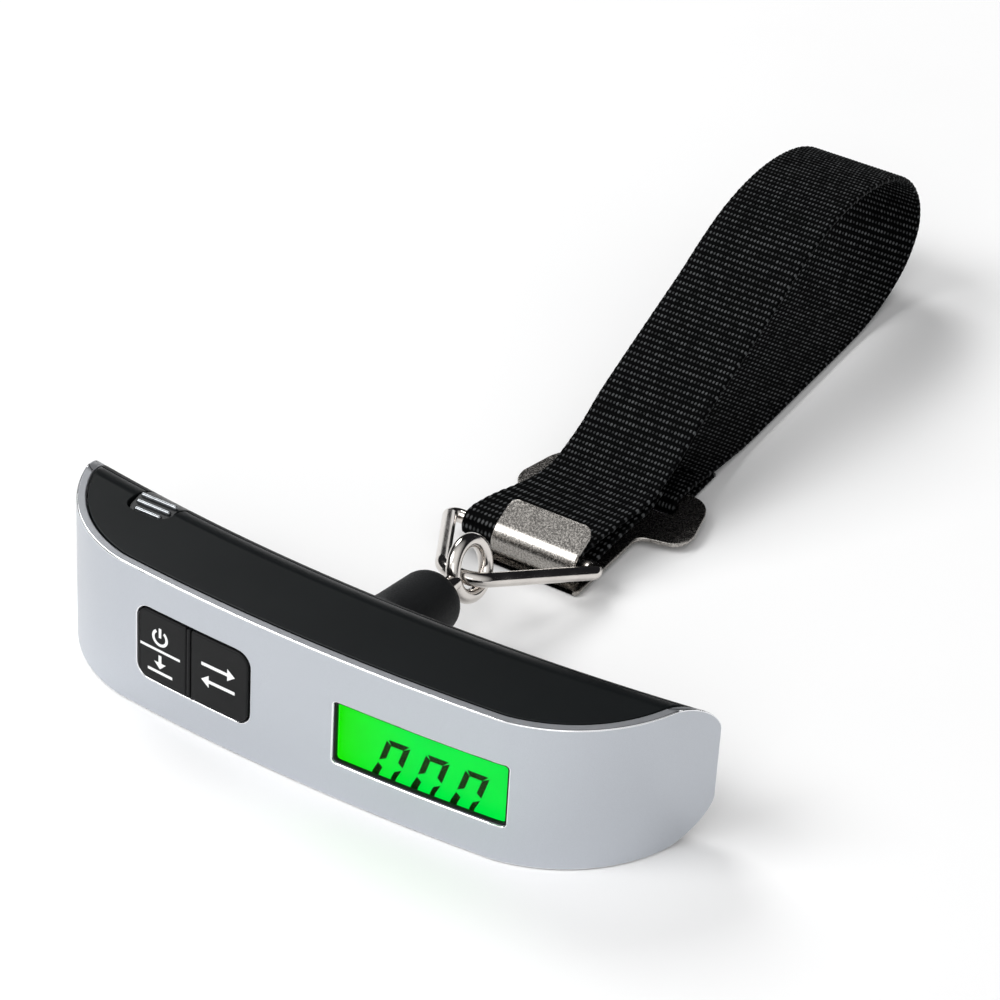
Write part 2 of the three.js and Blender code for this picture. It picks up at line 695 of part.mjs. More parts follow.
const routePoints = [
  [84, 10.9], [76, 8.5], [69, 6.2], [64, 4.2], [60.5, 3],
  ...halfTurn(bar.y, bar.z, wrap, -Math.PI / 2, -1),
  [60.5, 8.2], [64, 8.8], [68, 9.4], [73, 10.3], [82, 12.3], [91, 15.2], [99, 19.2], [108, 22.7], [117, 26],
  [127, 29.6], [136, 32.9], [145, 36.7], [154, 39.8], [164, 41.7], [175, 42.2], [186, 41], [196, 38.4],
  [204.5, 34.4], [211.5, 28.6], [215.8, 21.6], [216.2, 15.4], [212, 9.2], [205, 5.2], [197, 2.7],
  [189, 1.4], [180, 1], [160, 1], [140, 1], [126, 1.1],
  [117, 1.9], [110, 2.6], [103, 3.6], [98, foldZ + foldRise],
  ...halfTurn(foldY, foldZ, foldRise, Math.PI / 2, 1),
  [97, foldZ - foldRise], [104, foldZ - foldRise], [111, foldZ - foldRise],
];

// sideways place of the webbing's middle: square on the bar, then heading a little to the left
function webbingX(y) {
  const free = 4.8 - 0.049 * y;
  const share = Math.min(Math.max((y - bar.y) / 24, 0), 1);
  return bar.x + (free - bar.x) * share * share * (3 - 2 * share);
}

// the webbing is pressed out wider where it is folded round the bar
function webbingSpread(y) {
  const share = Math.min(Math.max((y - bar.y) / 18, 0), 1);
  return 1 + (barSpread / webWidth - 1) * (1 - share * share * (3 - 2 * share));
}

function strapWebbing() {
  const route = new THREE.CatmullRomCurve3(
    routePoints.map(([y, z]) => new THREE.Vector3(y, z, 0)), false, 'centripetal');
  const count = (routePoints.length - 1) * 2;
  const upper = [];
  const lower = [];
  for (let index = 0; index <= count; index += 1) {
    const point = route.getPoint(index / count);
    const along = route.getTangent(index / count);
    const half = webThickness / 2;
    upper.push(new THREE.Vector2(point.x - along.y * half, point.y + along.x * half));
    lower.push(new THREE.Vector2(point.x + along.y * half, point.y - along.x * half));
  }
  const shape = new THREE.Shape([...upper, ...lower.reverse()]);
  const geometry = acrossWidth(shape, webWidth, 1);
  const position = geometry.attributes.position;
  for (let index = 0; index < position.count; index += 1) {
    const y = position.getY(index);
    position.setX(index, position.getX(index) * webbingSpread(y) + webbingX(y));
  }
  return solid(geometry);
}

// ---------------------------------------------------------------- the assembly
const silver = { color: 0xc4c8d0, roughness: 0.38, metalness: 0.75 };
const satinBlack = { color: 0x16181a, roughness: 0.45, metalness: 0 };
const texturedBlack = { color: 0x1c1e20, roughness: 0.75, metalness: 0 };
const rubber = { color: 0x131516, roughness: 0.7, metalness: 0 };
const chrome = { color: 0xd8d6d2, roughness: 0.12, metalness: 1 };
const nickel = { color: 0xbdb8b0, roughness: 0.25, metalness: 1 };
const steel = { color: 0xa8aaad, roughness: 0.35, metalness: 1 };
const aluminium = { color: 0xb9bcc0, roughness: 0.4, metalness: 1 };
const brass = { color: 0xc9a24e, roughness: 0.35, metalness: 1 };
const boardGreen = { color: 0x1f5a33, roughness: 0.5, metalness: 0 };
const whitePlastic = { color: 0xd9dad4, roughness: 0.5, metalness: 0 };
const clear = { color: 0xdfe6e4, roughness: 0.08, metalness: 0 };
const displayGreen = { color: 0x20e83a, roughness: 0.4, metalness: 0 };
const nylon = { color: 0x0d0e0f, roughness: 0.85, metalness: 0 };

const part = new THREE.Group();
const body = new THREE.Group();
const swivel = new THREE.Group();
const pull = new THREE.Group();
part.add(body, swivel, pull);

body.position.set(0, -originY, 0);
swivel.position.set(0, -originY, middleZ);
swivel.rotation.y = eye.lean;
pull.position.set(0, -originY, 0);

function place(group, name, manifold, look) {
  const mesh = new THREE.Mesh(geometryOf(manifold), new THREE.MeshStandardMaterial(look));
  mesh.name = name;
  group.add(mesh);
}

place(body, 'band_shell', bandShell(), silver);
place(body, 'top_panel', topPanel(), satinBlack);
place(body, 'bottom_panel', bottomPanel(), satinBlack);
place(body, 'rear_cover', rearCover(), texturedBlack);
place(body, 'neck_bush', neckBush(), whitePlastic);
place(body, 'battery_door', batteryDoor(), satinBlack);
place(body, 'battery_tray', batteryTray(), texturedBlack);
place(body, 'coin_cell', coinCell(), steel);
place(body, 'contact_positive', contactPositive(), nickel);
place(body, 'contact_negative', contactNegative(), nickel);
place(body, 'power_key', key(keys.x0, keys.split - gap / 2, 1, 0), rubber);
place(body, 'unit_key', key(keys.split + gap / 2, keys.x1, 0, 1), rubber);
place(body, 'power_key_dome', keyDome((keys.x0 + keys.split) / 2), steel);
place(body, 'unit_key_dome', keyDome((keys.split + keys.x1) / 2), steel);
place(body, 'lcd_lens', lcdLens(), clear);
place(body, 'lcd_glass', lcdGlass(), displayGreen);
place(body, 'backlight', backlight(), whitePlastic);
place(body, 'zebra_strip', zebraStrip(), rubber);
place(body, 'circuit_board', circuitBoard(), boardGreen);
place(body, 'chip_blob', chipBlob(), rubber);
boardHoles.forEach((hole, index) => place(body, `board_screw_${index + 1}`, boardScrew(hole), steel));
place(body, 'inner_frame', innerFrame(), texturedBlack);
place(body, 'load_cell', loadCell(), aluminium);
place(body, 'load_cell_screw_left', loadCellScrew(-1), steel);
place(body, 'load_cell_screw_right', loadCellScrew(1), steel);
place(body, 'gauge_cover', gaugeCover(), whitePlastic);
place(body, 'gauge_lead', gaugeLead(), rubber);
caseScrews.forEach((screw, index) => place(body, `case_screw_${index + 1}`, caseScrew(screw), steel));
place(swivel, 'pull_eye', pullEye(), chrome);
place(swivel, 'pull_nut', pullNut(), brass);
place(pull, 'triangle_ring', triangleRing(), chrome);
place(pull, 'hook_plate', hookPlate(), nickel);
place(pull, 'strap_webbing', strapWebbing(), nylon);

export default part;
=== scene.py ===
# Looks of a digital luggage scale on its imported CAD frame. Metres, Z up, the frame's own axes:
# the body runs along X, its keys and display face -Y, and the webbing loop lies toward +Y.
import json
import math
import random

import bmesh
import bpy
from mathutils import Matrix, Vector


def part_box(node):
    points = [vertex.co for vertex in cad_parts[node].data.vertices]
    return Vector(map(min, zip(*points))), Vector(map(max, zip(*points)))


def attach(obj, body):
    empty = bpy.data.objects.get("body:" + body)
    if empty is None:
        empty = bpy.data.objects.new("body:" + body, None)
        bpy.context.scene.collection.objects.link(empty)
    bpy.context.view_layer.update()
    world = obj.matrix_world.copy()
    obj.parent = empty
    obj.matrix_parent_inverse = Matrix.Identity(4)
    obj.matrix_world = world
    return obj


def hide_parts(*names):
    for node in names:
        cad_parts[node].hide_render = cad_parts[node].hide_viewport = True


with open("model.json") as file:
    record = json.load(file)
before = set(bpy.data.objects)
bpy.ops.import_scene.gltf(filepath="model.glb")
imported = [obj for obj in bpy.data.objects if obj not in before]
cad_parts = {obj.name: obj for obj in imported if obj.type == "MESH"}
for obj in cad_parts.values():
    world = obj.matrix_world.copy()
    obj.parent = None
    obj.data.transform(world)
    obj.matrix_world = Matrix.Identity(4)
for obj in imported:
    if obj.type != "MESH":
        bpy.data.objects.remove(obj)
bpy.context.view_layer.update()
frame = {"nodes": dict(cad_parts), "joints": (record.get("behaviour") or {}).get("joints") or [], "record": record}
mm = 0.001

# ------------------------------------------------------------------ driving dimensions
# Places come from the frame; the body is drawn with its rear tips on y = 0, then moved to rear_y.


def node_box(name):
    low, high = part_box(name)
    return Vector(low), Vector(high)


band_low, band_high = node_box("band_shell")
length = band_high.x - band_low.x
height = band_high.z
rear_y = band_high.y
bow = rear_y - band_low.y
middle_z = height / 2
pivots = {j["name"]: Vector(j["pos_m"]) for j in frame["joints"] if "pos_m" in j}

wall = 2 * mm
gap = 0.3 * mm
hollow = 6.3 * mm
edge_run = 10.7 * mm
edge_drop = 8.6 * mm
edge_power = 1.63
parting_run = 6.3 * mm
rear_radius = ((length / 2) ** 2 + hollow**2) / (2 * hollow)
rear_centre = rear_radius - hollow
outline_arcs = [(458 * mm, 5.5, 9), (20 * mm, 9.4, 6), (34.3 * mm, 54.2, 30)]  # radius, degrees, steps
behind = 12 * mm      # how far past the rear tips the drawn outlines run


# ------------------------------------------------------------------ mesh helpers
def mesh_object(name, vertices, faces):
    mesh = bpy.data.meshes.new(name)
    mesh.from_pydata([tuple(v) for v in vertices], [], faces)
    mesh.update()
    piece = bpy.data.objects.new(name, mesh)
    bpy.context.scene.collection.objects.link(piece)
    return piece


def face_outward(piece):
    work = bmesh.new()
    work.from_mesh(piece.data)
    bmesh.ops.recalc_face_normals(work, faces=work.faces)
    work.to_mesh(piece.data)
    work.free()
    return piece


# faces that join rows of count vertices, from vertex base on, capped at both ends or closed into a ring
def row_faces(rows, count, base=0, ring=False):
    faces = []
    for row in range(rows if ring else rows - 1):
        here = base + row * count
        there = base + ((row + 1) % rows) * count
        for column in range(count):
            after = (column + 1) % count
            faces.append((here + column, here + after, there + after, there + column))
    if not ring:
        last = base + (rows - 1) * count
        faces.append(tuple(reversed(range(base, base + count))))
        faces.append(tuple(range(last, last + count)))
    return faces


# joins loops of equal length into one closed solid
def loft(name, loops, ring=False):
    vertices = [vertex for loop in loops for vertex in loop]
    return face_outward(mesh_object(name, vertices, row_faces(len(loops), len(loops[0]), ring=ring)))


def prism_up(name, outline_points, z0, z1):
    return loft(name, [[(x, y, z) for x, y in outline_points] for z in (z0, z1)])


def prism_back(name, outline_points, y0, y1):
    return loft(name, [[(x, y, z) for x, z in outline_points] for y in (y0, y1)])


def polar(x, y, radius, angle):
    return (x + radius * math.cos(angle), y + radius * math.sin(angle))


# a solid of revolution about the line parallel to Y through (x, z)
def turned(name, profile, x, z, segments=48):
    loops = []
    for radius, y in profile:
        reach = max(radius, 1e-6)
        loop = []
        for index in range(segments):
            angle = 2 * math.pi * index / segments
            loop.append((x + reach * math.cos(angle), y, z + reach * math.sin(angle)))
        loops.append(loop)
    return loft(name, loops)


# a round wire along a route of points
def wire_along(name, route, radius, sides=24, closed=True):
    loops = []
    count = len(route)
    side = Vector((0, 0, 1))
    for index, point in enumerate(route):
        if closed:
            along = route[(index + 1) % count] - route[index - 1]
        else:
            along = route[min(index + 1, count - 1)] - route[max(index - 1, 0)]
        along.normalize()
        side = (side - along * side.dot(along)).normalized()
        across = along.cross(side)
        loop = []
        for step in range(sides):
            angle = 2 * math.pi * step / sides
            loop.append(point + (side * math.cos(angle) + across * math.sin(angle)) * radius)
        loops.append(loop)
    return loft(name, loops, ring=closed)


def replace_mesh(piece):
    bpy.context.view_layer.update()
    graph = bpy.context.evaluated_depsgraph_get()
    mesh = bpy.data.meshes.new_from_object(piece.evaluated_get(graph))
    old = piece.data
    piece.modifiers.clear()
    piece.data = mesh
    bpy.data.meshes.remove(old)
    return piece


def combine(piece, tool, operation):
    modifier = piece.modifiers.new("combine", "BOOLEAN")
    modifier.operation = operation
    modifier.solver = "EXACT"
    modifier.object = tool
    replace_mesh(piece)
    bpy.data.objects.remove(tool)
    return piece


def cut(piece, tool):
    return combine(piece, tool, "DIFFERENCE")


def keep(piece, tool):
    return combine(piece, tool, "INTERSECT")


def join(piece, tool):
    return combine(piece, tool, "UNION")


# merges what a boolean left behind, then rounds the sharp edges; rounds take material slot 1 if asked
def round_edges(piece, width, segments=2, angle=32, material=-1):
    piece.data.shade_smooth()
    piece.data.set_sharp_from_angle(angle=math.radians(angle))
    work = bmesh.new()
    work.from_mesh(piece.data)
    bmesh.ops.remove_doubles(work, verts=work.verts, dist=0.02 * mm)
    bmesh.ops.dissolve_limit(work, angle_limit=math.radians(0.04), verts=work.verts, edges=work.edges)
    work.to_mesh(piece.data)
    work.free()
    modifier = piece.modifiers.new("round", "BEVEL")
    modifier.width = width
    modifier.segments = segments
    modifier.limit_method = "ANGLE"
    modifier.angle_limit = math.radians(angle)
    modifier.use_clamp_overlap = False
    modifier.material = material
    modifier.harden_normals = True
    return replace_mesh(piece)


def smooth(piece, angle=32):
    piece.data.shade_smooth()
    piece.data.set_sharp_from_angle(angle=math.radians(angle))
    modifier = piece.modifiers.new("weights", "WEIGHTED_NORMAL")
    modifier.keep_sharp = True
    return replace_mesh(piece)


# moves a piece that was drawn with the rear tips on y = 0 to its place in the frame
def to_frame(piece):
    piece.data.transform(Matrix.Translation((0.0, rear_y, 0.0)))
    return piece


# names a piece, hangs it on its body, hides the CAD nodes it stands for, and gives it the given material or its
# slot's material unless it has its own
def settle(piece, name, body, slot, replaced=(), material=None):
    piece.name = name
    piece.data.name = name
    if not piece.data.materials:
        piece.data.materials.append(material or materials[slot])
    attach(piece, body)
    if replaced:
        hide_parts(*replaced)


# ------------------------------------------------------------------ materials
class Graph:
    """A material with its Principled shader and a short way to add nodes."""

    def __init__(self, name, colour, roughness, metallic=0.0):
        self.material = bpy.data.materials.new(name)
        self.material.use_nodes = True
        self.tree = self.material.node_tree
        self.shader = self.tree.nodes["Principled BSDF"]
        self.shader.inputs["Base Color"].default_value = (*colour, 1)
        self.shader.inputs["Roughness"].default_value = roughness
        self.shader.inputs["Metallic"].default_value = metallic
        self.place = self.tree.nodes.new("ShaderNodeTexCoord").outputs["Object"]

    def node(self, kind, **inputs):
        made = self.tree.nodes.new(kind)
        for key, value in inputs.items():
            made.inputs[key.replace("_", " ")].default_value = value
        return made

    def link(self, source, target):
        self.tree.links.new(source, target)

    def noise(self, scale, detail=3.0, roughness=0.6):
        made = self.node("ShaderNodeTexNoise", Scale=scale, Detail=detail, Roughness=roughness)
        self.link(self.place, made.inputs["Vector"])
        return made.outputs["Fac"]

    def spread(self, source, low, high, start=0.3, end=0.7):
        made = self.node("ShaderNodeMapRange", From_Min=start, From_Max=end, To_Min=low, To_Max=high)
        self.link(source, made.inputs["Value"])
        return made.outputs["Result"]

    def ramp(self, source, first, second, start=0.3, end=0.7):
        made = self.tree.nodes.new("ShaderNodeValToRGB")
        for element, colour, position in zip(made.color_ramp.elements, (first, second), (start, end)):
            element.color = (*colour, 1)
            element.position = position
        self.link(source, made.inputs["Fac"])
        return made.outputs["Color"]

    def feed(self, source, socket):
        self.link(source, self.shader.inputs[socket])

    def tint(self, source, dark, light):
        self.feed(self.ramp(source, dark, light), "Base Color")

    def bump(self, source, distance):
        made = self.node("ShaderNodeBump", Strength=1.0, Distance=distance)
        self.link(source, made.inputs["Height"])
        self.feed(made.outputs["Normal"], "Normal")

    def set(self, **sockets):
        for key, value in sockets.items():
            self.shader.inputs[key.replace("_", " ")].default_value = value


def shaded(colour, amount):
    return tuple(channel * amount for channel in colour)


# Three noises, each (scale, detail, roughness): one tints the colour between two shares of itself, one
# varies the gloss and one is the relief. Further settings go to the shader's own sockets.
def surface(name, colour, tint, tints, gloss, roughness, relief, height, metallic=0.0, **sockets):
    graph = Graph(name, colour, sum(roughness) / 2, metallic)
    noises = {settings: graph.noise(*settings) for settings in {tint, gloss, relief}}
    graph.tint(noises[tint], shaded(colour, tints[0]), shaded(colour, tints[1]))
    graph.feed(graph.spread(noises[gloss], *roughness), "Roughness")
    graph.bump(noises[relief], height)
    graph.set(**sockets)
    return graph.material


def plain_material(name, colour, roughness, metallic=0.0, variation=0.12, grain=900, relief=0.01 * mm):
    fine = (grain, 5)
    return surface(name, colour, (grain / 12,), (1 - variation, 1 + variation),
                   fine, (roughness * 0.85, roughness * 1.15), fine, relief, metallic)


def silver_paint():
    flakes = (9000, 2)
    return surface("silver_paint", (0.49, 0.515, 0.555), flakes, (0.93, 1.06), (45,), (0.34, 0.4),
                   flakes, 0.004 * mm, 0.55, Coat_Weight=0.15, Coat_Roughness=0.25)


def polished_edge():
    return plain_material("polished_edge", (0.86, 0.87, 0.89), 0.16, 1.0, 0.03, 4000, 0.002 * mm)


# the band's rim: a grey darker than the paint, painted shade for its top and bottom faces, which get less light
# than the front
def rim_shade_grey():
    return plain_material("rim_shade_grey", (0.34, 0.35, 0.37), 0.4, 0.7, 0.06, 5000, 0.004 * mm)


def satin_black():
    fine = (5200, 4)
    return surface("satin_black", (0.0055, 0.0068, 0.0074), (60,), (0.9, 1.12), fine, (0.3, 0.4),
                   fine, 0.006 * mm, Specular_IOR_Level=0.16)


def grained_black():
    pits = (2600, 2, 0.5)
    return surface("grained_black", (0.0075, 0.0082, 0.009), pits, (0.75, 1.3), pits, (0.5, 0.72),
                   pits, 0.045 * mm, Specular_IOR_Level=0.2)


def key_rubber():
    fine = (6000, 3)
    return surface("key_rubber", (0.0045, 0.0048, 0.0052), (120,), (0.85, 1.2), fine, (0.45, 0.58),
                   fine, 0.004 * mm, Specular_IOR_Level=0.2)


def nickel_plate():
    smears = (160, 6)
    return surface("nickel_plate", (0.70, 0.665, 0.63), smears, (0.88, 1.08), smears, (0.08, 0.2),
                   (1500, 4), 0.01 * mm, 1.0)


# the stamped plate is plated over a rolled surface, so it reads speckled
def stamped_nickel():
    speckle = (2400, 6, 0.75)
    return surface("stamped_nickel", (0.42, 0.40, 0.375), speckle, (0.12, 1.5), speckle, (0.14, 0.36),
                   speckle, 0.013 * mm, 1.0)


# black nylon whose raised floats of yarn get painted highlights: the colour is grey on their tops and near black
# in the hollows between them, painted shade
def webbing_nylon():
    graph = Graph("webbing_nylon", (0.004, 0.004, 0.0045), 0.6)
    fibres = graph.noise(9000, detail=4)
    lit = graph.tree.nodes.new("ShaderNodeAttribute")
    lit.attribute_name = "float_height_and_highlight"
    speckle = graph.node("ShaderNodeMath")
    speckle.operation = "MULTIPLY"
    graph.link(lit.outputs["Fac"], speckle.inputs[0])
    graph.link(graph.spread(fibres, 0.6, 1.4), speckle.inputs[1])
    # painted highlight and shade: near black between the floats, grey on their tops
    float_highlight_colour = graph.ramp(speckle.outputs["Value"], (0.0008, 0.0009, 0.001), (0.095, 0.099, 0.102), 0.4, 1.0)
    graph.feed(float_highlight_colour, "Base Color")
    graph.feed(graph.spread(fibres, 0.5, 0.7), "Roughness")
    graph.bump(fibres, 0.02 * mm)
    graph.set(Specular_IOR_Level=0.02)
    return graph.material


def print_white():
    return plain_material("print_white", (0.86, 0.87, 0.87), 0.5, 0.0, 0.03, 3000, 0.002 * mm)


def clear_window():
    graph = Graph("clear_window", (1.0, 1.0, 1.0), 0.03)
    haze = graph.noise(700)
    graph.feed(graph.spread(haze, 0.0, 0.008), "Roughness")
    graph.set(Transmission_Weight=1.0, IOR=1.08)
    return graph.material


# the lit cell: yellower at the left where its lamp is, with faint clouds
def lit_cell(low_x, high_x):
    graph = Graph("lit_cell", (0.0, 0.05, 0.0), 0.35)
    split = graph.tree.nodes.new("ShaderNodeSeparateXYZ")
    graph.link(graph.place, split.inputs["Vector"])
    across = graph.spread(split.outputs["X"], 0.0, 1.0, low_x, high_x)
    graph.feed(graph.ramp(across, (0.01, 0.80, 0.0), (0.0, 0.80, 0.055), 0.0, 0.45), "Emission Color")
    graph.feed(graph.spread(graph.noise(90), 0.95, 1.05), "Emission Strength")
    graph.set(Specular_IOR_Level=0.06)
    return graph.material


def lcd_ink():
    colour = (0.008, 0.03, 0.004)
    graph = Graph("lcd_ink", colour, 0.5)
    graph.tint(graph.noise(700), shaded(colour, 0.7), shaded(colour, 1.4))
    graph.set(Specular_IOR_Level=0.05)
    return graph.material


# a lit copy of the satin black for the door's ribs: grey and near metallic so that they show bright highlights,
# painted highlight in the colour
def rib_highlight_grey():
    return plain_material("rib_highlight_grey", (0.22, 0.23, 0.24), 0.2, 0.8, 0.15, 3000, 0.002 * mm)


materials = {
    "silver_paint": silver_paint(),
    "satin_black": satin_black(),
    "grained_black": grained_black(),
    "black_rubber": key_rubber(),
    "clear_window": clear_window(),
    "white_plastic": plain_material("white_plastic", (0.72, 0.72, 0.69), 0.5, 0.0, 0.05),
    "green_board": plain_material("green_board", (0.02, 0.14, 0.05), 0.4, 0.0, 0.25, 1500),
    "black_resin": plain_material("black_resin", (0.01, 0.01, 0.011), 0.25, 0.0, 0.2, 700),
    "plated_steel": nickel_plate(),
    "zinc_steel": plain_material("zinc_steel", (0.56, 0.57, 0.59), 0.3, 1.0, 0.1, 1800),
    "beam_aluminium": plain_material("beam_aluminium", (0.7, 0.71, 0.72), 0.34, 1.0, 0.06, 2600),
    "nut_brass": plain_material("nut_brass", (0.72, 0.53, 0.23), 0.3, 1.0, 0.08, 1600),
    "nylon_webbing": webbing_nylon(),
}
cell_low, cell_high = node_box("lcd_glass")
materials["display_cell"] = lit_cell(cell_low.x, cell_high.x)
edge_metal = polished_edge()
rim_shade_metal = rim_shade_grey()
print_ink = print_white()
rib_highlight_metal = rib_highlight_grey()
display_ink = lcd_ink()
plate_metal = stamped_nickel()


# every carried-over CAD node takes the detailed material of its slot
def dress_frame():
    slots = {entry["node"]: entry["material_slot"] for entry in frame["record"]["subparts"]}
    for name, piece in frame["nodes"].items():
        piece.data.materials.clear()
        piece.data.materials.append(materials[slots[name]])


# ------------------------------------------------------------------ the body's surfaces
def arc_centres():
    centres = []
    angle = 0.0
    x = 0.0
    y = -bow + outline_arcs[0][0]
    for index, (radius, degrees, steps) in enumerate(outline_arcs):
        if index:
            step = outline_arcs[index - 1][0] - radius
            x += step * math.sin(angle)
            y -= step * math.cos(angle)
        centres.append((x, y, radius, angle, angle + math.radians(degrees), steps))
        angle += math.radians(degrees)
    return centres


# front and ends of the body seen from above, moved in by inset, carried on behind it
def outline(inset):
    right = []
    for index, (x, y, radius, start, end, steps) in enumerate(arc_centres()):
        for step in range(1 if index else 0, steps + 1):
            angle = start + (end - start) * step / steps
            right.append((x + (radius - inset) * math.sin(angle), y - (radius - inset) * math.cos(angle)))
    reach = (behind - right[-1][1]) / math.sin(end)
    right.append((right[-1][0] + reach * math.cos(end), behind))
    left = [(-x, y) for x, y in reversed(right[1:])]
    return left + right


def front_y(x, inset=0.0):
    _, y, radius, _, _, _ = arc_centres()[0]
    return y - math.sqrt((radius - inset) ** 2 - x * x)


def back_y(x):
    return rear_centre - math.sqrt(rear_radius**2 - x * x)


# height lost by the rounded rear edge at a distance run from the back
def edge_loss(run, inset=0.0):
    share = min(max((edge_run - run) / (edge_run - inset), 0.0), 1.0)
    return (edge_drop - inset) * (1 - (1 - share**edge_power) ** (1 / edge_power))


# (run, z) points of the rounded top edge from run0 forward to where it is flat
def top_curve(run0, inset=0.0, steps=14):
    first = 0.0
    if run0 > inset:
        share = (edge_run - run0) / (edge_run - inset)
        first = math.acos(share ** (edge_power / 2))
    points = []
    for step in range(steps + 1):
        turn = first + (math.pi / 2 - first) * step / steps
        run = edge_run - (edge_run - inset) * math.cos(turn) ** (2 / edge_power)
        points.append((run, height - inset - edge_loss(run, inset)))
    return points


def mirrored(points):
    return [(run, height - z) for run, z in reversed(points)]


# carries a section drawn in (run, z) along the hollow back, from x0 to x1
def along_back(name, section, x0=-80 * mm, x1=80 * mm, steps=64):
    loops = []
    for step in range(steps + 1):
        angle = (x0 + (x1 - x0) * step / steps) / rear_radius
        loop = []
        for run, z in section:
            radius = rear_radius + run
            loop.append((radius * math.sin(angle), rear_centre - radius * math.cos(angle), z))
        loops.append(loop)
    return loft(name, loops)


def envelope():
    deep = 60 * mm
    top = top_curve(0.0)
    return along_back("envelope", [(deep, 0.0)] + mirrored(top) + top + [(deep, height)])


# section of the rear skin: rounded edges and the back, from run_top over to run_bottom
def skin_section(run_top, run_bottom, depth=wall):
    def edge(run1, inset):
        inside = [point for point in top_curve(inset, inset) if point[0] < min(run1, edge_run) - 1e-6]
        return inside + [(run1, height - inset - edge_loss(run1, inset))]

    outer = mirrored(edge(run_bottom, 0.0)) + edge(run_top, 0.0)
    inner = mirrored(edge(run_bottom, depth)) + edge(run_top, depth)
    return outer + list(reversed(inner))


def rounded_rectangle(x0, y0, x1, y1, radius, steps=8):
    points = []
    corners = [(x1 - radius, y0 + radius, -90), (x1 - radius, y1 - radius, 0),
               (x0 + radius, y1 - radius, 90), (x0 + radius, y0 + radius, 180)]
    for x, y, start in corners:
        for step in range(steps + 1):
            angle = math.radians(start + 90 * step / steps)
            points.append(polar(x, y, radius, angle))
    return points


# the body's plan moved in by inset, as a slab taller than the body
def slab(inset):
    return prism_up("slab", outline(inset), -5 * mm, height + 5 * mm)


# ------------------------------------------------------------------ keys and display
keys = {"x0": -40 * mm, "x1": -11.1 * mm, "z0": 8.1 * mm, "z1": 25.4 * mm, "corner": 3.2 * mm,
        "split": -26.3 * mm, "proud": 0.35 * mm, "divider": 0.9 * mm}
window = {"x0": 8.8 * mm, "x1": 47.5 * mm, "z0": 8.6 * mm, "z1": 23.2 * mm, "corner": 0.9 * mm}
opening_y = (-bow - 4 * mm, -bow + 8 * mm)


def band_shell():
    on_rim = 0.06 * mm      # a face this near the rounded edge belongs to the rim
    inward_of_all = Vector((0.0, 40 * mm, 0.0))      # a point that the whole band curves round
    band = prism_up("band", outline(0.0), 0.0, height)
    cut(band, slab(wall))
    keep(band, envelope())
    for hole in (keys, window):
        shape = rounded_rectangle(hole["x0"], hole["z0"], hole["x1"], hole["z1"], hole["corner"])
        cut(band, prism_back("hole", shape, *opening_y))
    # slot 2 is the rim's darker grey of painted shade
    for material in (materials["silver_paint"], edge_metal, rim_shade_metal):
        band.data.materials.append(material)
    for face in band.data.polygons:
        x, y, z = face.center
        run = math.hypot(x, y - rear_centre) - rear_radius
        from_edge = min(abs(height - edge_loss(run) - z), abs(edge_loss(run) - z))
        face.material_index = 2 if from_edge < on_rim else 0
    round_edges(band, 0.3 * mm, segments=2, material=1)
    # the inner rounds take the rim's painted-shade grey
    for face in band.data.polygons:      # only the outer edges are polished
        away = Vector((face.center.x, face.center.y, 0.0)) - inward_of_all
        if face.material_index == 1 and face.normal.dot(away) < 0:
            face.material_index = 2
    smooth(to_frame(band))
    follow_outline(band, rear_y)
    settle(band, "band", "scale_body", "silver_paint", ["band_shell"])


# lends the band's outside the exact normals of its outline, so that the openings leave no trace in them
def follow_outline(piece, back):
    on_skin = 0.02 * mm      # a vertex this near the outline lies on it
    facing = 0.97      # a face that looks this much the outline's way is part of the outside
    skin = [Vector((x, y + back)) for x, y in outline(0.0)]
    spans = [b - a for a, b in zip(skin, skin[1:])]
    flat = [Vector((span.y, -span.x)).normalized() for span in spans]
    normals = [flat[0]] + [(a + b).normalized() for a, b in zip(flat, flat[1:])] + [flat[-1]]
    found = {}

    def normal_at(index):
        if index not in found:
            spot = piece.data.vertices[index].co.xy
            found[index] = None
            for start, span, before, after in zip(skin, spans, normals, normals[1:]):
                share = (spot - start).dot(span) / span.length_squared
                if -0.001 <= share <= 1.001 and (spot - start - span * share).length < on_skin:
                    found[index] = before.lerp(after, share).normalized()
                    break
        return found[index]

    corners = [corner.vector.copy() for corner in piece.data.corner_normals]
    for face in piece.data.polygons:
        for loop in face.loop_indices:
            exact = normal_at(piece.data.loops[loop].vertex_index)
            if exact and face.normal.xy.dot(exact) > facing:
                corners[loop] = Vector((exact.x, exact.y, 0.0))
    piece.data.normals_split_custom_set(corners)


# black gasket that lines the display's opening in front of its window and hides the window's edges; its dark ring
# also stands in for the shade in the gap round the window, painted shade
def display_shade_gasket():
    outer = 0.03 * mm
    inner = 0.45 * mm
    front = 0.5 * mm
    back = 1.38 * mm

    def ring(inset):
        return rounded_rectangle(window["x0"] + inset, window["z0"] + inset, window["x1"] - inset,
                                 window["z1"] - inset, window["corner"])

    shade_gasket = prism_back("shade_gasket", ring(outer), *opening_y)
    cut(shade_gasket, prism_back("inside", ring(inner), *opening_y))
    keep(shade_gasket, slab(front))
    cut(shade_gasket, slab(back))
    round_edges(shade_gasket, 0.06 * mm, segments=1)
    smooth(to_frame(shade_gasket))
    settle(shade_gasket, "display_shade_gasket", "scale_body", "black_rubber")


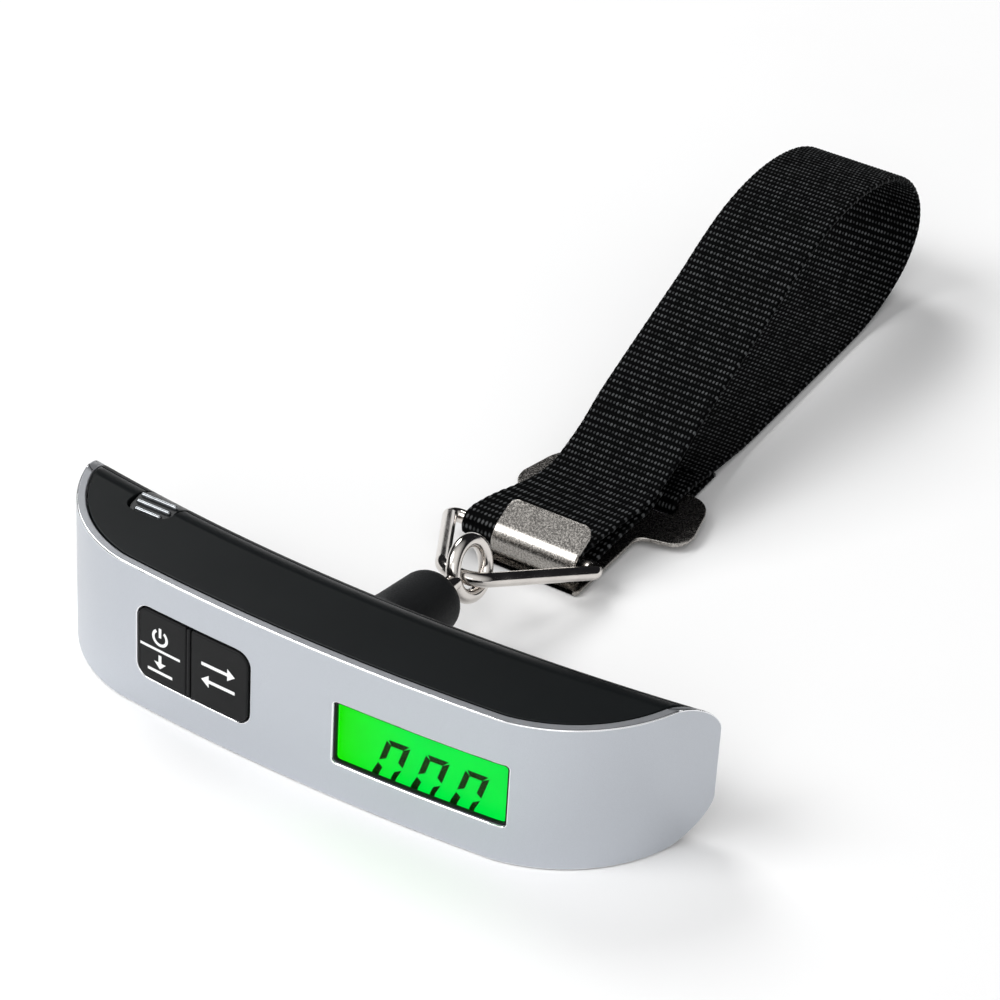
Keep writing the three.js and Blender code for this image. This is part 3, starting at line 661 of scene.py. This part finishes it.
def key_piece(name, body, replaced, x0, x1, proud):
    shape = rounded_rectangle(keys["x0"] + gap, keys["z0"] + gap, keys["x1"] - gap, keys["z1"] - gap,
                              keys["corner"] - gap)
    piece = prism_back("key", shape, *opening_y)
    keep(piece, slab(-proud))
    cut(piece, slab(wall + 0.6 * mm))
    side = [(x0, 0.0), (x1, 0.0), (x1, height), (x0, height)]
    keep(piece, prism_back("side", side, *opening_y))
    round_edges(piece, min(0.4 * mm, (x1 - x0) / 3), segments=3)
    smooth(to_frame(piece))
    settle(piece, name, body, "black_rubber", replaced)


# thin prisms from (x, z) outlines; place(x, depth) gives the y of their front at depth 0 and their back at 1
def flat_marks(name, shapes, place):
    vertices = []
    faces = []
    for shape in shapes:
        faces += row_faces(2, len(shape), len(vertices))
        for depth in (0, 1):
            vertices += [(x, place(x, depth), z) for x, z in shape]
    return face_outward(mesh_object(name, vertices, faces))


# a printed mark that follows the bowed front
def printed(name, body, shapes, lift):
    depth = 0.05 * mm
    piece = flat_marks(name, shapes, lambda x, back: rear_y + front_y(x, -lift - depth * (1 - back)))
    settle(piece, name, body, "white_plastic", (), print_ink)


def bar_shape(x0, z0, x1, z1, width):
    along = Vector((x1 - x0, z1 - z0)).normalized() * (width / 2)
    return [(x0 - along.y, z0 + along.x), (x1 - along.y, z1 + along.x),
            (x1 + along.y, z1 - along.x), (x0 + along.y, z0 - along.x)]


def arc_shapes(x, z, radius, width, start, end, steps=16):
    shapes = []
    for step in range(steps):
        a0 = math.radians(start + (end - start) * step / steps)
        a1 = math.radians(start + (end - start) * (step + 1) / steps)
        inner = radius - width / 2
        outer = radius + width / 2
        corners = ((inner, a0), (inner, a1), (outer, a1), (outer, a0))
        shapes.append([polar(x, z, reach, angle) for reach, angle in corners])
    return shapes


# power mark over a bar, and below it a zeroing mark: an arrow down to a line
def power_marks():
    x = -33.6 * mm
    shapes = arc_shapes(x, 19.7 * mm, 1.75 * mm, 0.65 * mm, 125, 415)
    shapes.append(bar_shape(x, 19.7 * mm, x, 22 * mm, 0.65 * mm))
    shapes.append(bar_shape(x - 5.2 * mm, 16.5 * mm, x + 5.2 * mm, 16.5 * mm, 0.6 * mm))
    stem_top = 15.4 * mm
    stem_foot = 12.2 * mm
    shapes.append(bar_shape(x, stem_top, x, stem_foot + 0.8 * mm, 0.75 * mm))
    half = 1.5 * mm
    head = stem_foot + 1.4 * mm
    shapes.append([(x - half, head), (x, stem_foot - 0.1 * mm), (x + half, head)])
    shapes.append(bar_shape(x - 3.2 * mm, 11.2 * mm, x + 3.2 * mm, 11.2 * mm, 0.65 * mm))
    printed("power_marks", "power_key", shapes, keys["proud"])


# two opposed arrows: change over to the next measure
def unit_marks():
    x = -18.7 * mm
    z = 16.8 * mm
    half = 4.2 * mm
    head = 1.45 * mm
    shapes = []
    for side in (1, -1):
        level = z + side * 1.9 * mm
        tip = x + side * half
        shapes.append(bar_shape(x - side * half, level, tip - side * head, level, 0.75 * mm))
        neck = tip - side * head * 1.3
        shapes.append([(neck, level + head), (neck, level - head), (tip, level)])
    printed("unit_marks", "unit_key", shapes, keys["proud"])


# one slanted seven-segment nought from its top down; its foot reaches below the cell and is cut off later
def digit_shapes(x, top):
    tall_half = 5.9 * mm
    wide = 5.3 * mm
    stroke = 1.3 * mm
    space = 0.35 * mm
    slant = 0.3

    def lean(px, pz):
        return (x + px + (pz + 2 * tall_half) * slant, top + pz)

    def upright(px, z0, z1, inward):
        inner = px + inward * stroke
        bevel = space + stroke * 0.7
        return [lean(px, z0 + space), lean(inner, z0 + bevel), lean(inner, z1 - bevel), lean(px, z1 - space)]

    middle = -tall_half
    bottom = -2 * tall_half
    shapes = []
    for px, inward in ((0.0, 1), (wide, -1)):
        shapes.append(upright(px, middle, 0.0, inward))
        shapes.append(upright(px, bottom, middle, inward))
    for level, side in ((0.0, -1), (bottom, 1)):
        inner = level + side * stroke
        shapes.append([lean(space, level), lean(wide - space, level), lean(wide - stroke, inner),
                       lean(stroke, inner)])
    return shapes


def display_digits():
    low, high = node_box("lcd_glass")
    turn = math.asin((window["x0"] + window["x1"]) / 2 / outline_arcs[0][0])
    middle_x = (low.x + high.x) / 2
    front = low.y + 0.5 * (high.x - low.x) * math.sin(turn) - 0.06 * mm
    floor = low.z + 0.2 * mm
    depth = 0.04 * mm
    shapes = []
    for index in range(3):
        for shape in digit_shapes((16 + 8.75 * index) * mm, 17 * mm):
            if max(z for _, z in shape) > floor + 0.05 * mm:
                shapes.append([(x, max(z, floor)) for x, z in shape])
    slope = math.tan(turn)
    piece = flat_marks("display_digits", shapes,
                       lambda x, back: front + (x - middle_x) * slope - depth * (1 - back))
    settle(piece, "display_digits", "scale_body", "black_resin", (), display_ink)


# ------------------------------------------------------------------ panels, rear cover, battery door
door = {"x0": -63.5 * mm, "x1": -40.5 * mm, "z0": 5.6 * mm, "z1": 27.4 * mm, "corner": 3 * mm,
        "tongue_x0": -56 * mm, "tongue_x1": -46 * mm, "tongue_y": -17.4 * mm, "grip_y": -11 * mm}
case_screws = [name for name in frame["nodes"] if name.startswith("case_screw")]


def tongue_prism(margin):
    radius = 2.6 * mm + margin
    x0 = door["tongue_x0"] - margin
    x1 = door["tongue_x1"] + margin
    y0 = door["tongue_y"] - margin
    shape = rounded_rectangle(x0, y0, x1, behind, radius)
    return prism_up("tongue", shape, door["z1"] - 3 * mm, height + 5 * mm)


def door_prism(margin):
    shape = rounded_rectangle(door["x0"] - margin, door["z0"] - margin, door["x1"] + margin,
                              door["z1"] + margin, door["corner"])
    return prism_back("plate", shape, back_y(door["x0"]) - 9 * mm, behind)


def panel(name, node, upper):
    depth = wall * 0.8
    top = top_curve(parting_run + gap / 2)
    deep = 60 * mm
    outer = top + [(deep, height)]
    inner = [(run, z - depth) for run, z in outer]
    section = outer + list(reversed(inner))
    if not upper:
        section = mirrored(section)
    piece = along_back("panel", section)
    keep(piece, slab(wall + gap))
    if upper:
        cut(piece, tongue_prism(gap))
        cut(piece, door_prism(gap))
    round_edges(piece, 0.22 * mm, segments=2)
    smooth(to_frame(piece))
    settle(piece, name, "scale_body", "satin_black", [node])


# profile of the neck, from inside the cover out to the mouth that the eye's shank comes through
def neck_profile():
    _, high = node_box("rear_cover")
    end = high.y - rear_y
    straight = end - 4.6 * mm
    collar = 7.1 * mm
    rounding = 3.8 * mm
    profile = [(0.0, -7 * mm), (11.2 * mm, -7 * mm), (10.1 * mm, -5.6 * mm), (9.2 * mm, -4.4 * mm),
               (8.6 * mm, -3 * mm), (8.1 * mm, -0.8 * mm), (7.85 * mm, 1.6 * mm), (collar, straight)]
    for step in range(1, 9):
        turn = step / 8 * math.pi / 2
        radius = collar - rounding * (1 - math.cos(turn))
        profile.append((radius, straight + (end - straight) * math.sin(turn)))
    mouth = 2.4 * mm
    return profile + [(mouth, end), (mouth, end - 3 * mm), (0.0, end - 3 * mm)]


def rear_cover():
    run = parting_run - gap / 2
    cover = along_back("cover", skin_section(run, run))
    keep(cover, slab(wall + gap))
    cut(cover, door_prism(gap))
    cut(cover, tongue_prism(gap))
    join(cover, turned("neck", neck_profile(), 0.0, middle_z, 64))
    for name in case_screws:
        low, high = node_box(name)
        centre = (low + high) / 2
        hole = [(0.0, low.y - rear_y), (2.6 * mm, low.y - rear_y), (2.6 * mm, behind), (0.0, behind)]
        cut(cover, turned("hole", hole, centre.x, centre.z, 32))
    round_edges(cover, 0.2 * mm, segments=2)
    smooth(to_frame(cover))
    settle(cover, "rear_moulding", "scale_body", "grained_black", ["rear_cover"])


# how far the sloping finger grip lies under the top at y
def grip_drop(y):
    return 0.21 * max(door["grip_y"] - y, 0.0)


# three round bars across the grip, each a little shorter than the one behind it
def door_ribs():
    ribs = None
    for index in range(3):
        y = door["grip_y"] - (1.1 + 1.95 * index) * mm
        z = height - grip_drop(y) + 0.12 * mm
        shorten = (0.45 + 0.3 * index * index) * mm
        x0 = door["tongue_x0"] + shorten
        x1 = door["tongue_x1"] - shorten
        loops = []
        for x, radius in ((x0, 0.2), (x0 + 0.15 * mm, 0.42), (x0 + 0.45 * mm, 0.55), (x1 - 0.45 * mm, 0.55),
                          (x1 - 0.15 * mm, 0.42), (x1, 0.2)):
            loops.append([(x, *polar(y, z, radius * mm, 2 * math.pi * step / 24)) for step in range(24)])
        rib = loft("rib", loops)
        ribs = join(ribs, rib) if ribs else rib
    smooth(to_frame(ribs), 50)
    # the ribs take the grey, near-metallic lit copy of the satin black for their highlights
    settle(ribs, "door_ribs", "battery_door", "satin_black", (), rib_highlight_metal)


# the lid in the back and the tongue in the top are cut from one skin, then the grip's slope is cut in
def battery_door():
    span = (-70 * mm, -34 * mm)
    section = skin_section(30 * mm, 30 * mm)
    lid = keep(along_back("lid", section, *span, 24), door_prism(0.0))
    tongue = keep(along_back("tongue_skin", section, *span, 24), tongue_prism(0.0))
    join(lid, tongue)
    y0 = door["tongue_y"]
    top = height + 2 * mm
    ramp = [(y0 - 1 * mm, top), (y0 - 1 * mm, height - grip_drop(y0)), (y0, height - grip_drop(y0)),
            (door["grip_y"], height), (door["grip_y"] + 1 * mm, top)]
    cut(lid, loft("ramp", [[(x, y, z) for y, z in ramp] for x in span]))
    round_edges(lid, 0.18 * mm, segments=2)
    smooth(to_frame(lid))
    settle(lid, "door_lid", "battery_door", "satin_black", ["battery_door"])


# ------------------------------------------------------------------ metalwork
wire_radius = 1.6 * mm
web_width = 25.4 * mm
web_thickness = 1.5 * mm


def pull_eye():
    low, high = node_box("pull_eye")
    lean = math.radians(-16)
    radius = 5.9 * mm
    strand = wire_radius
    centre_y = high.y - radius - strand
    upright = Vector((math.sin(lean), 0.0, math.cos(lean)))
    centre = Vector((0.0, centre_y, middle_z))
    route = []
    for step in range(72):
        angle = 2 * math.pi * step / 72
        forward = Vector((0, 1, 0)) * radius * math.cos(angle)
        route.append(centre + forward + upright * radius * math.sin(angle))
    ring = wire_along("ring", route, strand, 24)
    foot = centre_y - radius
    shank = 1.9 * mm
    profile = [(0.0, low.y), (shank, low.y), (shank, foot), (0.0, foot)]
    join(ring, turned("stem", profile, 0.0, middle_z, 32))
    smooth(ring, 40)
    settle(ring, "eye_wire", "pull", "plated_steel", ["pull_eye"])


# route of the triangle in its own plane, apex at the origin and far bar along x at y = reach
def triangle_route(reach, slack):
    half = math.radians(24.6)
    apex_radius = 6.3 * mm
    corner_radius = 2 * mm
    sharp = apex_radius * (1 / math.sin(half) - 1)
    half_bar = (reach + sharp) * math.tan(half)
    corner_x = half_bar - corner_radius / math.tan((math.pi / 2 - half) / 2)
    corner_y = reach - corner_radius
    arcs = [(0.0, apex_radius, apex_radius, half - math.pi, -half),
            (corner_x, corner_y, corner_radius, -half, math.pi / 2),
            (-corner_x, corner_y, corner_radius, math.pi / 2, math.pi + half)]
    route = []
    for x, y, radius, start, end in arcs:
        for step in range(17):
            angle = start + (end - start) * step / 16
            point_y = y + radius * math.sin(angle)
            route.append(Vector((x + radius * math.cos(angle) + slack * point_y / reach, point_y, 0.0)))
    return route


def triangle_ring():
    low, high = node_box("triangle_ring")
    bar = pivots["strap_swing"]
    apex = Vector((-1.7 * mm, low.y + wire_radius, high.z - 1.5 * mm))
    reach = math.hypot(bar.y - apex.y, bar.z - apex.z)
    tilt = Matrix.Rotation(math.atan2(bar.z - apex.z, bar.y - apex.y), 3, "X")
    route = [tilt @ point + apex for point in triangle_route(reach, bar.x - apex.x)]
    ring = wire_along("triangle", route, wire_radius, 28)
    smooth(ring, 60)
    settle(ring, "triangle_wire", "triangle", "plated_steel", ["triangle_ring"])


def curve_through(start, control, end, steps=8):
    points = []
    for step in range(1, steps + 1):
        t = step / steps
        points.append(tuple((1 - t) ** 2 * a + 2 * t * (1 - t) * b + t * t * c
                            for a, b, c in zip(start, control, end)))
    return points


# plan of the stamped plate: its right half, then the same mirrored
def plate_outline(front, back, ear_half):
    half = 12 * mm
    ear = front + 25.5 * mm
    side = [(half - 1.6 * mm, front)]
    side += curve_through(side[-1], (half, front), (half, front + 1.6 * mm), 5)
    side.append((half, ear - 2.5 * mm))
    side += curve_through(side[-1], (half, ear), (half + 2.5 * mm, ear + 0.4 * mm))
    side.append((ear_half - 4 * mm, ear + 1.2 * mm))
    side += curve_through(side[-1], (ear_half, ear + 2 * mm), (ear_half, ear + 7 * mm), 10)
    side.append((ear_half - 1.4 * mm, back - 7 * mm))
    side += curve_through(side[-1], (ear_half - 2.6 * mm, back), (ear_half - 8 * mm, back), 10)
    return side + [(-x, y) for x, y in reversed(side)]


# the hook plate is drawn flat, then tipped about the bar so that its front is down on the surface
plate_thick = 1.1 * mm
plate_tilt = math.radians(2.7)
plate_middle = -0.3 * mm
tongue_half = 10.4 * mm
tongue_reach = 12 * mm      # past the tongue's front, ahead of the bar
slot_ahead = (30.6 * mm, 35 * mm)      # the slot's near and far sides, from the bar
curl = wire_radius + gap + web_thickness + gap


# the flat stamping, with relief cuts beside the tongue and the slot that the webbing is folded through
def plate_blank(bar, ear_half, bottom, top):
    plan = plate_outline(bar.y - 5.4 * mm, bar.y + 40 * mm, ear_half)
    plate = prism_up("plate", plan, bottom, top)
    half = tongue_half + 0.4 * mm
    relief = rounded_rectangle(-half, bar.y - tongue_reach, half, bar.y, 0.4 * mm, 3)
    cut(plate, prism_up("relief", relief, bottom - mm, top + mm))
    slot = rounded_rectangle(-14 * mm, bar.y + slot_ahead[0], 14 * mm, bar.y + slot_ahead[1], 1.6 * mm)
    return cut(plate, prism_up("slot", slot, bottom - mm, top + mm))


# the tongue: from the plate forward, up round the bar and back down over the webbing, with round corners
def plate_tongue(bar, bottom, top):
    slope = math.radians(25)
    straight = 6.7 * mm
    turn_steps = 30
    around = [-math.pi / 2 + (slope - math.pi) * step / turn_steps for step in range(turn_steps + 1)]
    sides = []
    for radius in (curl, curl + plate_thick):
        side = [polar(bar.y, bar.z, radius, angle) for angle in around]
        side.append((side[-1][0] + straight * math.cos(slope), side[-1][1] + straight * math.sin(slope)))
        sides.append(side)
    root = bar.y + 4 * mm
    section = [(root, bottom), (root, top)] + sides[0] + list(reversed(sides[1]))
    tongue = loft("tongue", [[(x, y, z) for y, z in section] for x in (-tongue_half, tongue_half)])
    end_y, end_z = sides[1][-1]
    rounding = rounded_rectangle(-tongue_half, bar.y - tongue_reach, tongue_half, end_y, 2.2 * mm)
    return keep(tongue, prism_up("rounding", rounding, bottom - mm, end_z + mm))


def hook_plate():
    bar = pivots["strap_swing"]
    low, high = node_box("hook_plate")
    top = bar.z - curl
    bottom = top - plate_thick
    plate = plate_blank(bar, (high.x - low.x) / 2, bottom, top)
    join(plate, plate_tongue(bar, bottom, top))
    round_edges(plate, 0.28 * mm, segments=2)
    tip = Matrix.Translation(bar) @ Matrix.Rotation(plate_tilt, 4, "X") @ Matrix.Translation(-bar)
    plate.data.transform(Matrix.Translation((plate_middle, 0, 0)) @ tip)
    smooth(plate)
    settle(plate, "hook_stamping", "hook", "plated_steel", ["hook_plate"], plate_metal)


# ------------------------------------------------------------------ webbing
rib_pitch = 1.78 * mm
yarn_pitch = 0.855 * mm


def half_turn(y, z, radius, start, direction):
    return [polar(y, z, radius, start + direction * math.pi * step / 8) for step in range(9)]


# the webbing's middle line seen from the side, in millimetres from the body's rear tips
def web_route():
    bar = pivots["strap_swing"]
    bar_y = (bar.y - rear_y) / mm
    bar_z = bar.z / mm
    slot_z = -curl - plate_thick / 2
    fold_y = bar_y + (slot_ahead[1] * math.cos(plate_tilt) - slot_z * math.sin(plate_tilt)) / mm
    fold_z = bar_z + (slot_ahead[1] * math.sin(plate_tilt) + slot_z * math.cos(plate_tilt)) / mm
    fold = (plate_thick / 2 + gap + web_thickness / 2) / mm
    wrap = (wire_radius + gap + web_thickness / 2) / mm
    points = [(84, 10.9), (76, 8.5), (69, 6.2), (64, 4.2), (60.5, 3)]
    points += half_turn(bar_y, bar_z, wrap, -math.pi / 2, -1)
    points += [(60.5, 8.2), (64, 8.8), (68, 9.4), (73, 10.3), (82, 12.3), (91, 15.2), (99, 19.2), (108, 22.7),
               (117, 26), (127, 29.6), (136, 32.9), (145, 36.7), (154, 39.8), (164, 41.7), (175, 42.2),
               (186, 41), (196, 38.4), (204.5, 34.4), (211.5, 28.6), (215.8, 21.6), (216.2, 15.4),
               (212, 9.2), (205, 5.2), (197, 2.7), (189, 1.4), (180, 1), (160, 1), (140, 1), (126, 1.1),
               (117, 1.9), (110, 2.6), (103, 3.6), (98, fold_z + fold)]
    points += half_turn(fold_y, fold_z, fold, math.pi / 2, 1)
    points += [(97, fold_z - fold), (104, fold_z - fold), (111, fold_z - fold)]
    return [Vector((0.0, rear_y + y * mm, z * mm)) for y, z in points]


def between(a, b, ta, tb, t):
    return a * ((tb - t) / (tb - ta)) + b * ((t - ta) / (tb - ta))


# a smooth curve through points, sampled about every step along its length
def sampled(points, step):
    dense = []
    padded_points = [points[0] * 2 - points[1]] + points + [points[-1] * 2 - points[-2]]
    for index in range(1, len(padded_points) - 2):
        p0, p1, p2, p3 = padded_points[index - 1:index + 3]
        t0 = 0.0
        t1 = t0 + math.sqrt((p1 - p0).length)
        t2 = t1 + math.sqrt((p2 - p1).length)
        t3 = t2 + math.sqrt((p3 - p2).length)
        for part in range(24):
            t = t1 + (t2 - t1) * part / 24
            a1 = between(p0, p1, t0, t1, t)
            a2 = between(p1, p2, t1, t2, t)
            a3 = between(p2, p3, t2, t3, t)
            b1 = between(a1, a2, t0, t2, t)
            b2 = between(a2, a3, t1, t3, t)
            dense.append(between(b1, b2, t1, t2, t))
    dense.append(points[-1])
    route = [dense[0]]
    travelled = 0.0
    for before, here in zip(dense, dense[1:]):
        span = (here - before).length
        while travelled + span >= step:
            share = (step - travelled) / span
            before = before.lerp(here, share)
            span = (here - before).length
            route.append(before)
            travelled = 0.0
        travelled += span
    return route


# sideways place of the webbing's middle: square on the bar, then heading a little to the left
def web_x(y):
    bar = pivots["strap_swing"]
    free = 4.8 * mm - 0.049 * (y - rear_y)
    share = min(max((y - bar.y) / (24 * mm), 0.0), 1.0)
    return bar.x + (free - bar.x) * share * share * (3 - 2 * share)


# half the webbing's width: it is pressed out wider where it is folded round the bar
def web_half(y):
    bar = pivots["strap_swing"]
    share = min(max((y - bar.y) / (18 * mm), 0.0), 1.0)
    return web_width / 2 + 1.9 * mm * (1 - share * share * (3 - 2 * share))


# relief of the weave at a place on the webbing, and the painted highlight of the float of warp there (how far it
# stands up, varied at random), both 0 to 1
def weave(along, across):
    row = math.floor(along / rib_pitch)
    offset = across / yarn_pitch + 0.5 * (row % 2)
    column = math.floor(offset)
    u = 2 * (along / rib_pitch - row) - 1
    v = 2 * (offset - column) - 1
    chance = math.sin(12.9898 * row + 78.233 * column) * 43758.5453
    chance -= math.floor(chance)
    float_height_and_highlight = math.sqrt(max(1 - (u / 0.66) ** 2 - (v / 0.86) ** 2, 0.0))
    rib = math.sqrt(max(1 - u * u, 0.0))
    return 0.45 * rib + 0.55 * float_height_and_highlight, float_height_and_highlight * (0.62 + 0.38 * chance)


# the webbing's section at a point of its route, across the top and back, and the painted highlights of its floats
def web_section(point, along, travelled, columns):
    relief = 0.34 * mm
    edge_round = 0.9 * mm
    up = Vector((0.0, -along.z, along.y))
    middle = web_x(point.y)
    stretch = web_half(point.y) / (web_width / 2)
    loop = []
    float_highlights = []
    for side in (1, -1):
        for column in range(columns + 1):
            across = side * (web_width / 2 - web_width * column / columns)
            edge = min((web_width / 2 - abs(across)) / edge_round, 1.0)
            rise, float_highlight = weave(travelled, across + web_width / 2)
            body = web_thickness / 2 - relief + relief * rise
            lift = body * (0.45 + 0.55 * math.sqrt(max(1 - (1 - edge) ** 2, 0.0)))
            loop.append(point + Vector((middle + across * stretch, 0.0, 0.0)) + up * (side * lift))
            float_highlights.append(float_highlight)
    return loop, float_highlights


def webbing():
    step = rib_pitch / 7
    columns = 150
    route = sampled(web_route(), step)
    loops = []
    float_highlights = []
    for index, point in enumerate(route):
        along = (route[min(index + 1, len(route) - 1)] - route[max(index - 1, 0)]).normalized()
        loop, highlights = web_section(point, along, index * step, columns)
        loops.append(loop)
        float_highlights += highlights
    piece = loft("webbing", loops)
    # the floats' painted highlights are kept on the mesh for the colour
    shade = piece.data.attributes.new("float_height_and_highlight", "FLOAT", "POINT")
    shade.data.foreach_set("value", float_highlights)
    piece.data.shade_smooth()
    settle(piece, "webbing", "strap", "nylon_webbing", ["strap_webbing"])
    return route


# one stitch: a thread that rises out of the webbing, lies on it and goes back in
def stitch(vertices, faces, start, end, up, radius):
    along = (end - start).normalized()
    across = along.cross(up).normalized()
    rings = 7
    sides = 8
    faces.extend(row_faces(rings, sides, len(vertices)))
    for ring in range(rings):
        share = ring / (rings - 1)
        bulge = math.sin(math.pi * (0.08 + 0.84 * share)) ** 0.5
        centre = start.lerp(end, share) + up * (radius * 0.9 * math.sin(math.pi * share) - radius * 0.5)
        for side in range(sides):
            angle = 2 * math.pi * side / sides
            vertices.append(centre + (up * math.sin(angle) + across * math.cos(angle)) * radius * bulge)


# rows of thread across the webbing at given distances from the body's rear tips
def stitch_rows(name, route, rows, side):
    vertices = []
    faces = []
    pitch = 2.1 * mm
    jitter = random.Random(5)
    for target, first, last in rows:
        inside = [index for index in range(first, last) if abs(route[index].y - target) < 0.6 * mm]
        if not inside:
            continue
        index = min(inside, key=lambda i: abs(route[i].y - target))
        along = (route[index + 1] - route[index - 1]).normalized()
        up = Vector((0.0, -along.z, along.y)) * side
        middle = web_x(route[index].y)
        count = int((web_width - 4 * mm) / pitch)
        for number in range(count):
            x = middle - count * pitch / 2 + pitch * number
            shake = jitter.uniform(-0.08, 0.08) * mm
            surface = route[index] + up * (web_thickness / 2)
            start = surface + Vector((x + 0.25 * mm, 0, 0)) + along * shake
            end = surface + Vector((x + pitch - 0.25 * mm, 0, 0)) - along * shake
            stitch(vertices, faces, start, end, up, 0.26 * mm)
    piece = face_outward(mesh_object(name, vertices, faces))
    piece.data.shade_smooth()
    settle(piece, name, "strap", "nylon_webbing")


def stitching(route):
    count = len(route)
    half = count // 2
    first = [(rear_y + y * mm, count // 10, half) for y in (69, 72.5, 80)]
    stitch_rows("stitching_hook_end", route, first, -1)
    second = [(rear_y + y * mm, half, count - count // 14) for y in (101, 104, 108.5)]
    stitch_rows("stitching_plate_end", route, second, -1)


# ------------------------------------------------------------------ floor, light and camera
def pale_floor():
    floor = mesh_object("floor", [(-3, -3, 0), (3, -3, 0), (3, 3, 0), (-3, 3, 0)], [(0, 1, 2, 3)])
    floor.location.z = -0.2 * mm
    floor.data.materials.append(plain_material("floor", (0.93, 0.93, 0.93), 0.9, 0.0, 0.004, 20, 0.0))


# brightest toward the front and overhead and dark behind, so that polished metal has contrast; the camera
# itself sees a plain pale backdrop past the floor
def sky():
    brightest = (0.35, -0.63, 0.69)
    world = bpy.data.worlds.new("studio")
    world.use_nodes = True
    tree = world.node_tree
    link = tree.links.new
    background = tree.nodes["Background"]
    background.inputs["Strength"].default_value = 0.55
    direction = tree.nodes.new("ShaderNodeTexCoord")
    lean = tree.nodes.new("ShaderNodeVectorMath")
    lean.operation = "DOT_PRODUCT"
    lean.inputs[1].default_value = brightest
    ramp = tree.nodes.new("ShaderNodeValToRGB")
    dark, bright = ramp.color_ramp.elements
    dark.position = 0.22
    dark.color = (0.03, 0.03, 0.034, 1)
    bright.position = 0.9
    bright.color = (1.75, 1.75, 1.75, 1)
    backdrop = tree.nodes.new("ShaderNodeBackground")
    backdrop.inputs["Color"].default_value = (0.95, 0.95, 0.95, 1)
    seen = tree.nodes.new("ShaderNodeLightPath")
    mix = tree.nodes.new("ShaderNodeMixShader")
    link(direction.outputs["Generated"], lean.inputs[0])
    link(lean.outputs["Value"], ramp.inputs["Fac"])
    link(ramp.outputs["Color"], background.inputs["Color"])
    link(seen.outputs["Is Camera Ray"], mix.inputs["Fac"])
    link(background.outputs["Background"], mix.inputs[1])
    link(backdrop.outputs["Background"], mix.inputs[2])
    link(mix.outputs["Shader"], tree.nodes["World Output"].inputs["Surface"])
    bpy.context.scene.world = world


# large soft boxes aimed at the object: name, place, side, watts
def lamps():
    boxes = [("key_box", (-1.6, 0.85, 1.9), 1.1, 26.0), ("left_box", (-1.03, -1.32, 1.73), 1.1, 28.0),
             ("front_box", (0.8, -2.1, 1.1), 1.4, 8.0)]
    for name, place, size, power in boxes:
        lamp = bpy.data.lights.new(name, "AREA")
        lamp.size = size
        lamp.energy = power
        holder = bpy.data.objects.new(name, lamp)
        holder.location = place
        holder.rotation_euler = (-Vector(place)).to_track_quat("-Z", "Y").to_euler()
        bpy.context.scene.collection.objects.link(holder)


def camera():
    bpy.context.scene.view_settings.view_transform = "Standard"
    azimuth = math.radians(30.774)
    elevation = math.radians(33.159)
    roll = math.radians(3.488)
    aim = Vector((-10.26 * mm, rear_y + 54.49 * mm, 15 * mm))
    distance = 0.79885
    forward = Vector((-math.sin(azimuth) * math.cos(elevation), math.cos(azimuth) * math.cos(elevation),
                      -math.sin(elevation)))
    right = Vector((math.cos(azimuth), math.sin(azimuth), 0.0))
    up = right.cross(forward)
    rolled_right = right * math.cos(roll) + up * math.sin(roll)
    rolled_up = up * math.cos(roll) - right * math.sin(roll)
    data = bpy.data.cameras.new("camera")
    data.sensor_width = 36
    data.lens = 134.28
    data.clip_start = 0.05
    holder = bpy.data.objects.new("camera", data)
    turn = Matrix((rolled_right, rolled_up, -forward)).transposed()
    holder.matrix_world = Matrix.Translation(aim - forward * distance) @ turn.to_4x4()
    bpy.context.scene.collection.objects.link(holder)
    bpy.context.scene.camera = holder


# ------------------------------------------------------------------ build
camera()
pale_floor()
sky()
lamps()
dress_frame()
band_shell()
panel("top_panel_skin", "top_panel", True)
panel("bottom_panel_skin", "bottom_panel", False)
rear_cover()
battery_door()
door_ribs()
display_shade_gasket()
rib_low = keys["split"] - keys["divider"] / 2
rib_high = keys["split"] + keys["divider"] / 2
key_piece("power_key_cap", "power_key", ["power_key"], keys["x0"], rib_low - gap / 2, keys["proud"])
key_piece("unit_key_cap", "unit_key", ["unit_key"], rib_high + gap / 2, keys["x1"], keys["proud"])
key_piece("key_divider", "scale_body", (), rib_low, rib_high, keys["proud"] + 0.1 * mm)
power_marks()
unit_marks()
display_digits()
pull_eye()
triangle_ring()
hook_plate()
stitching(webbing())
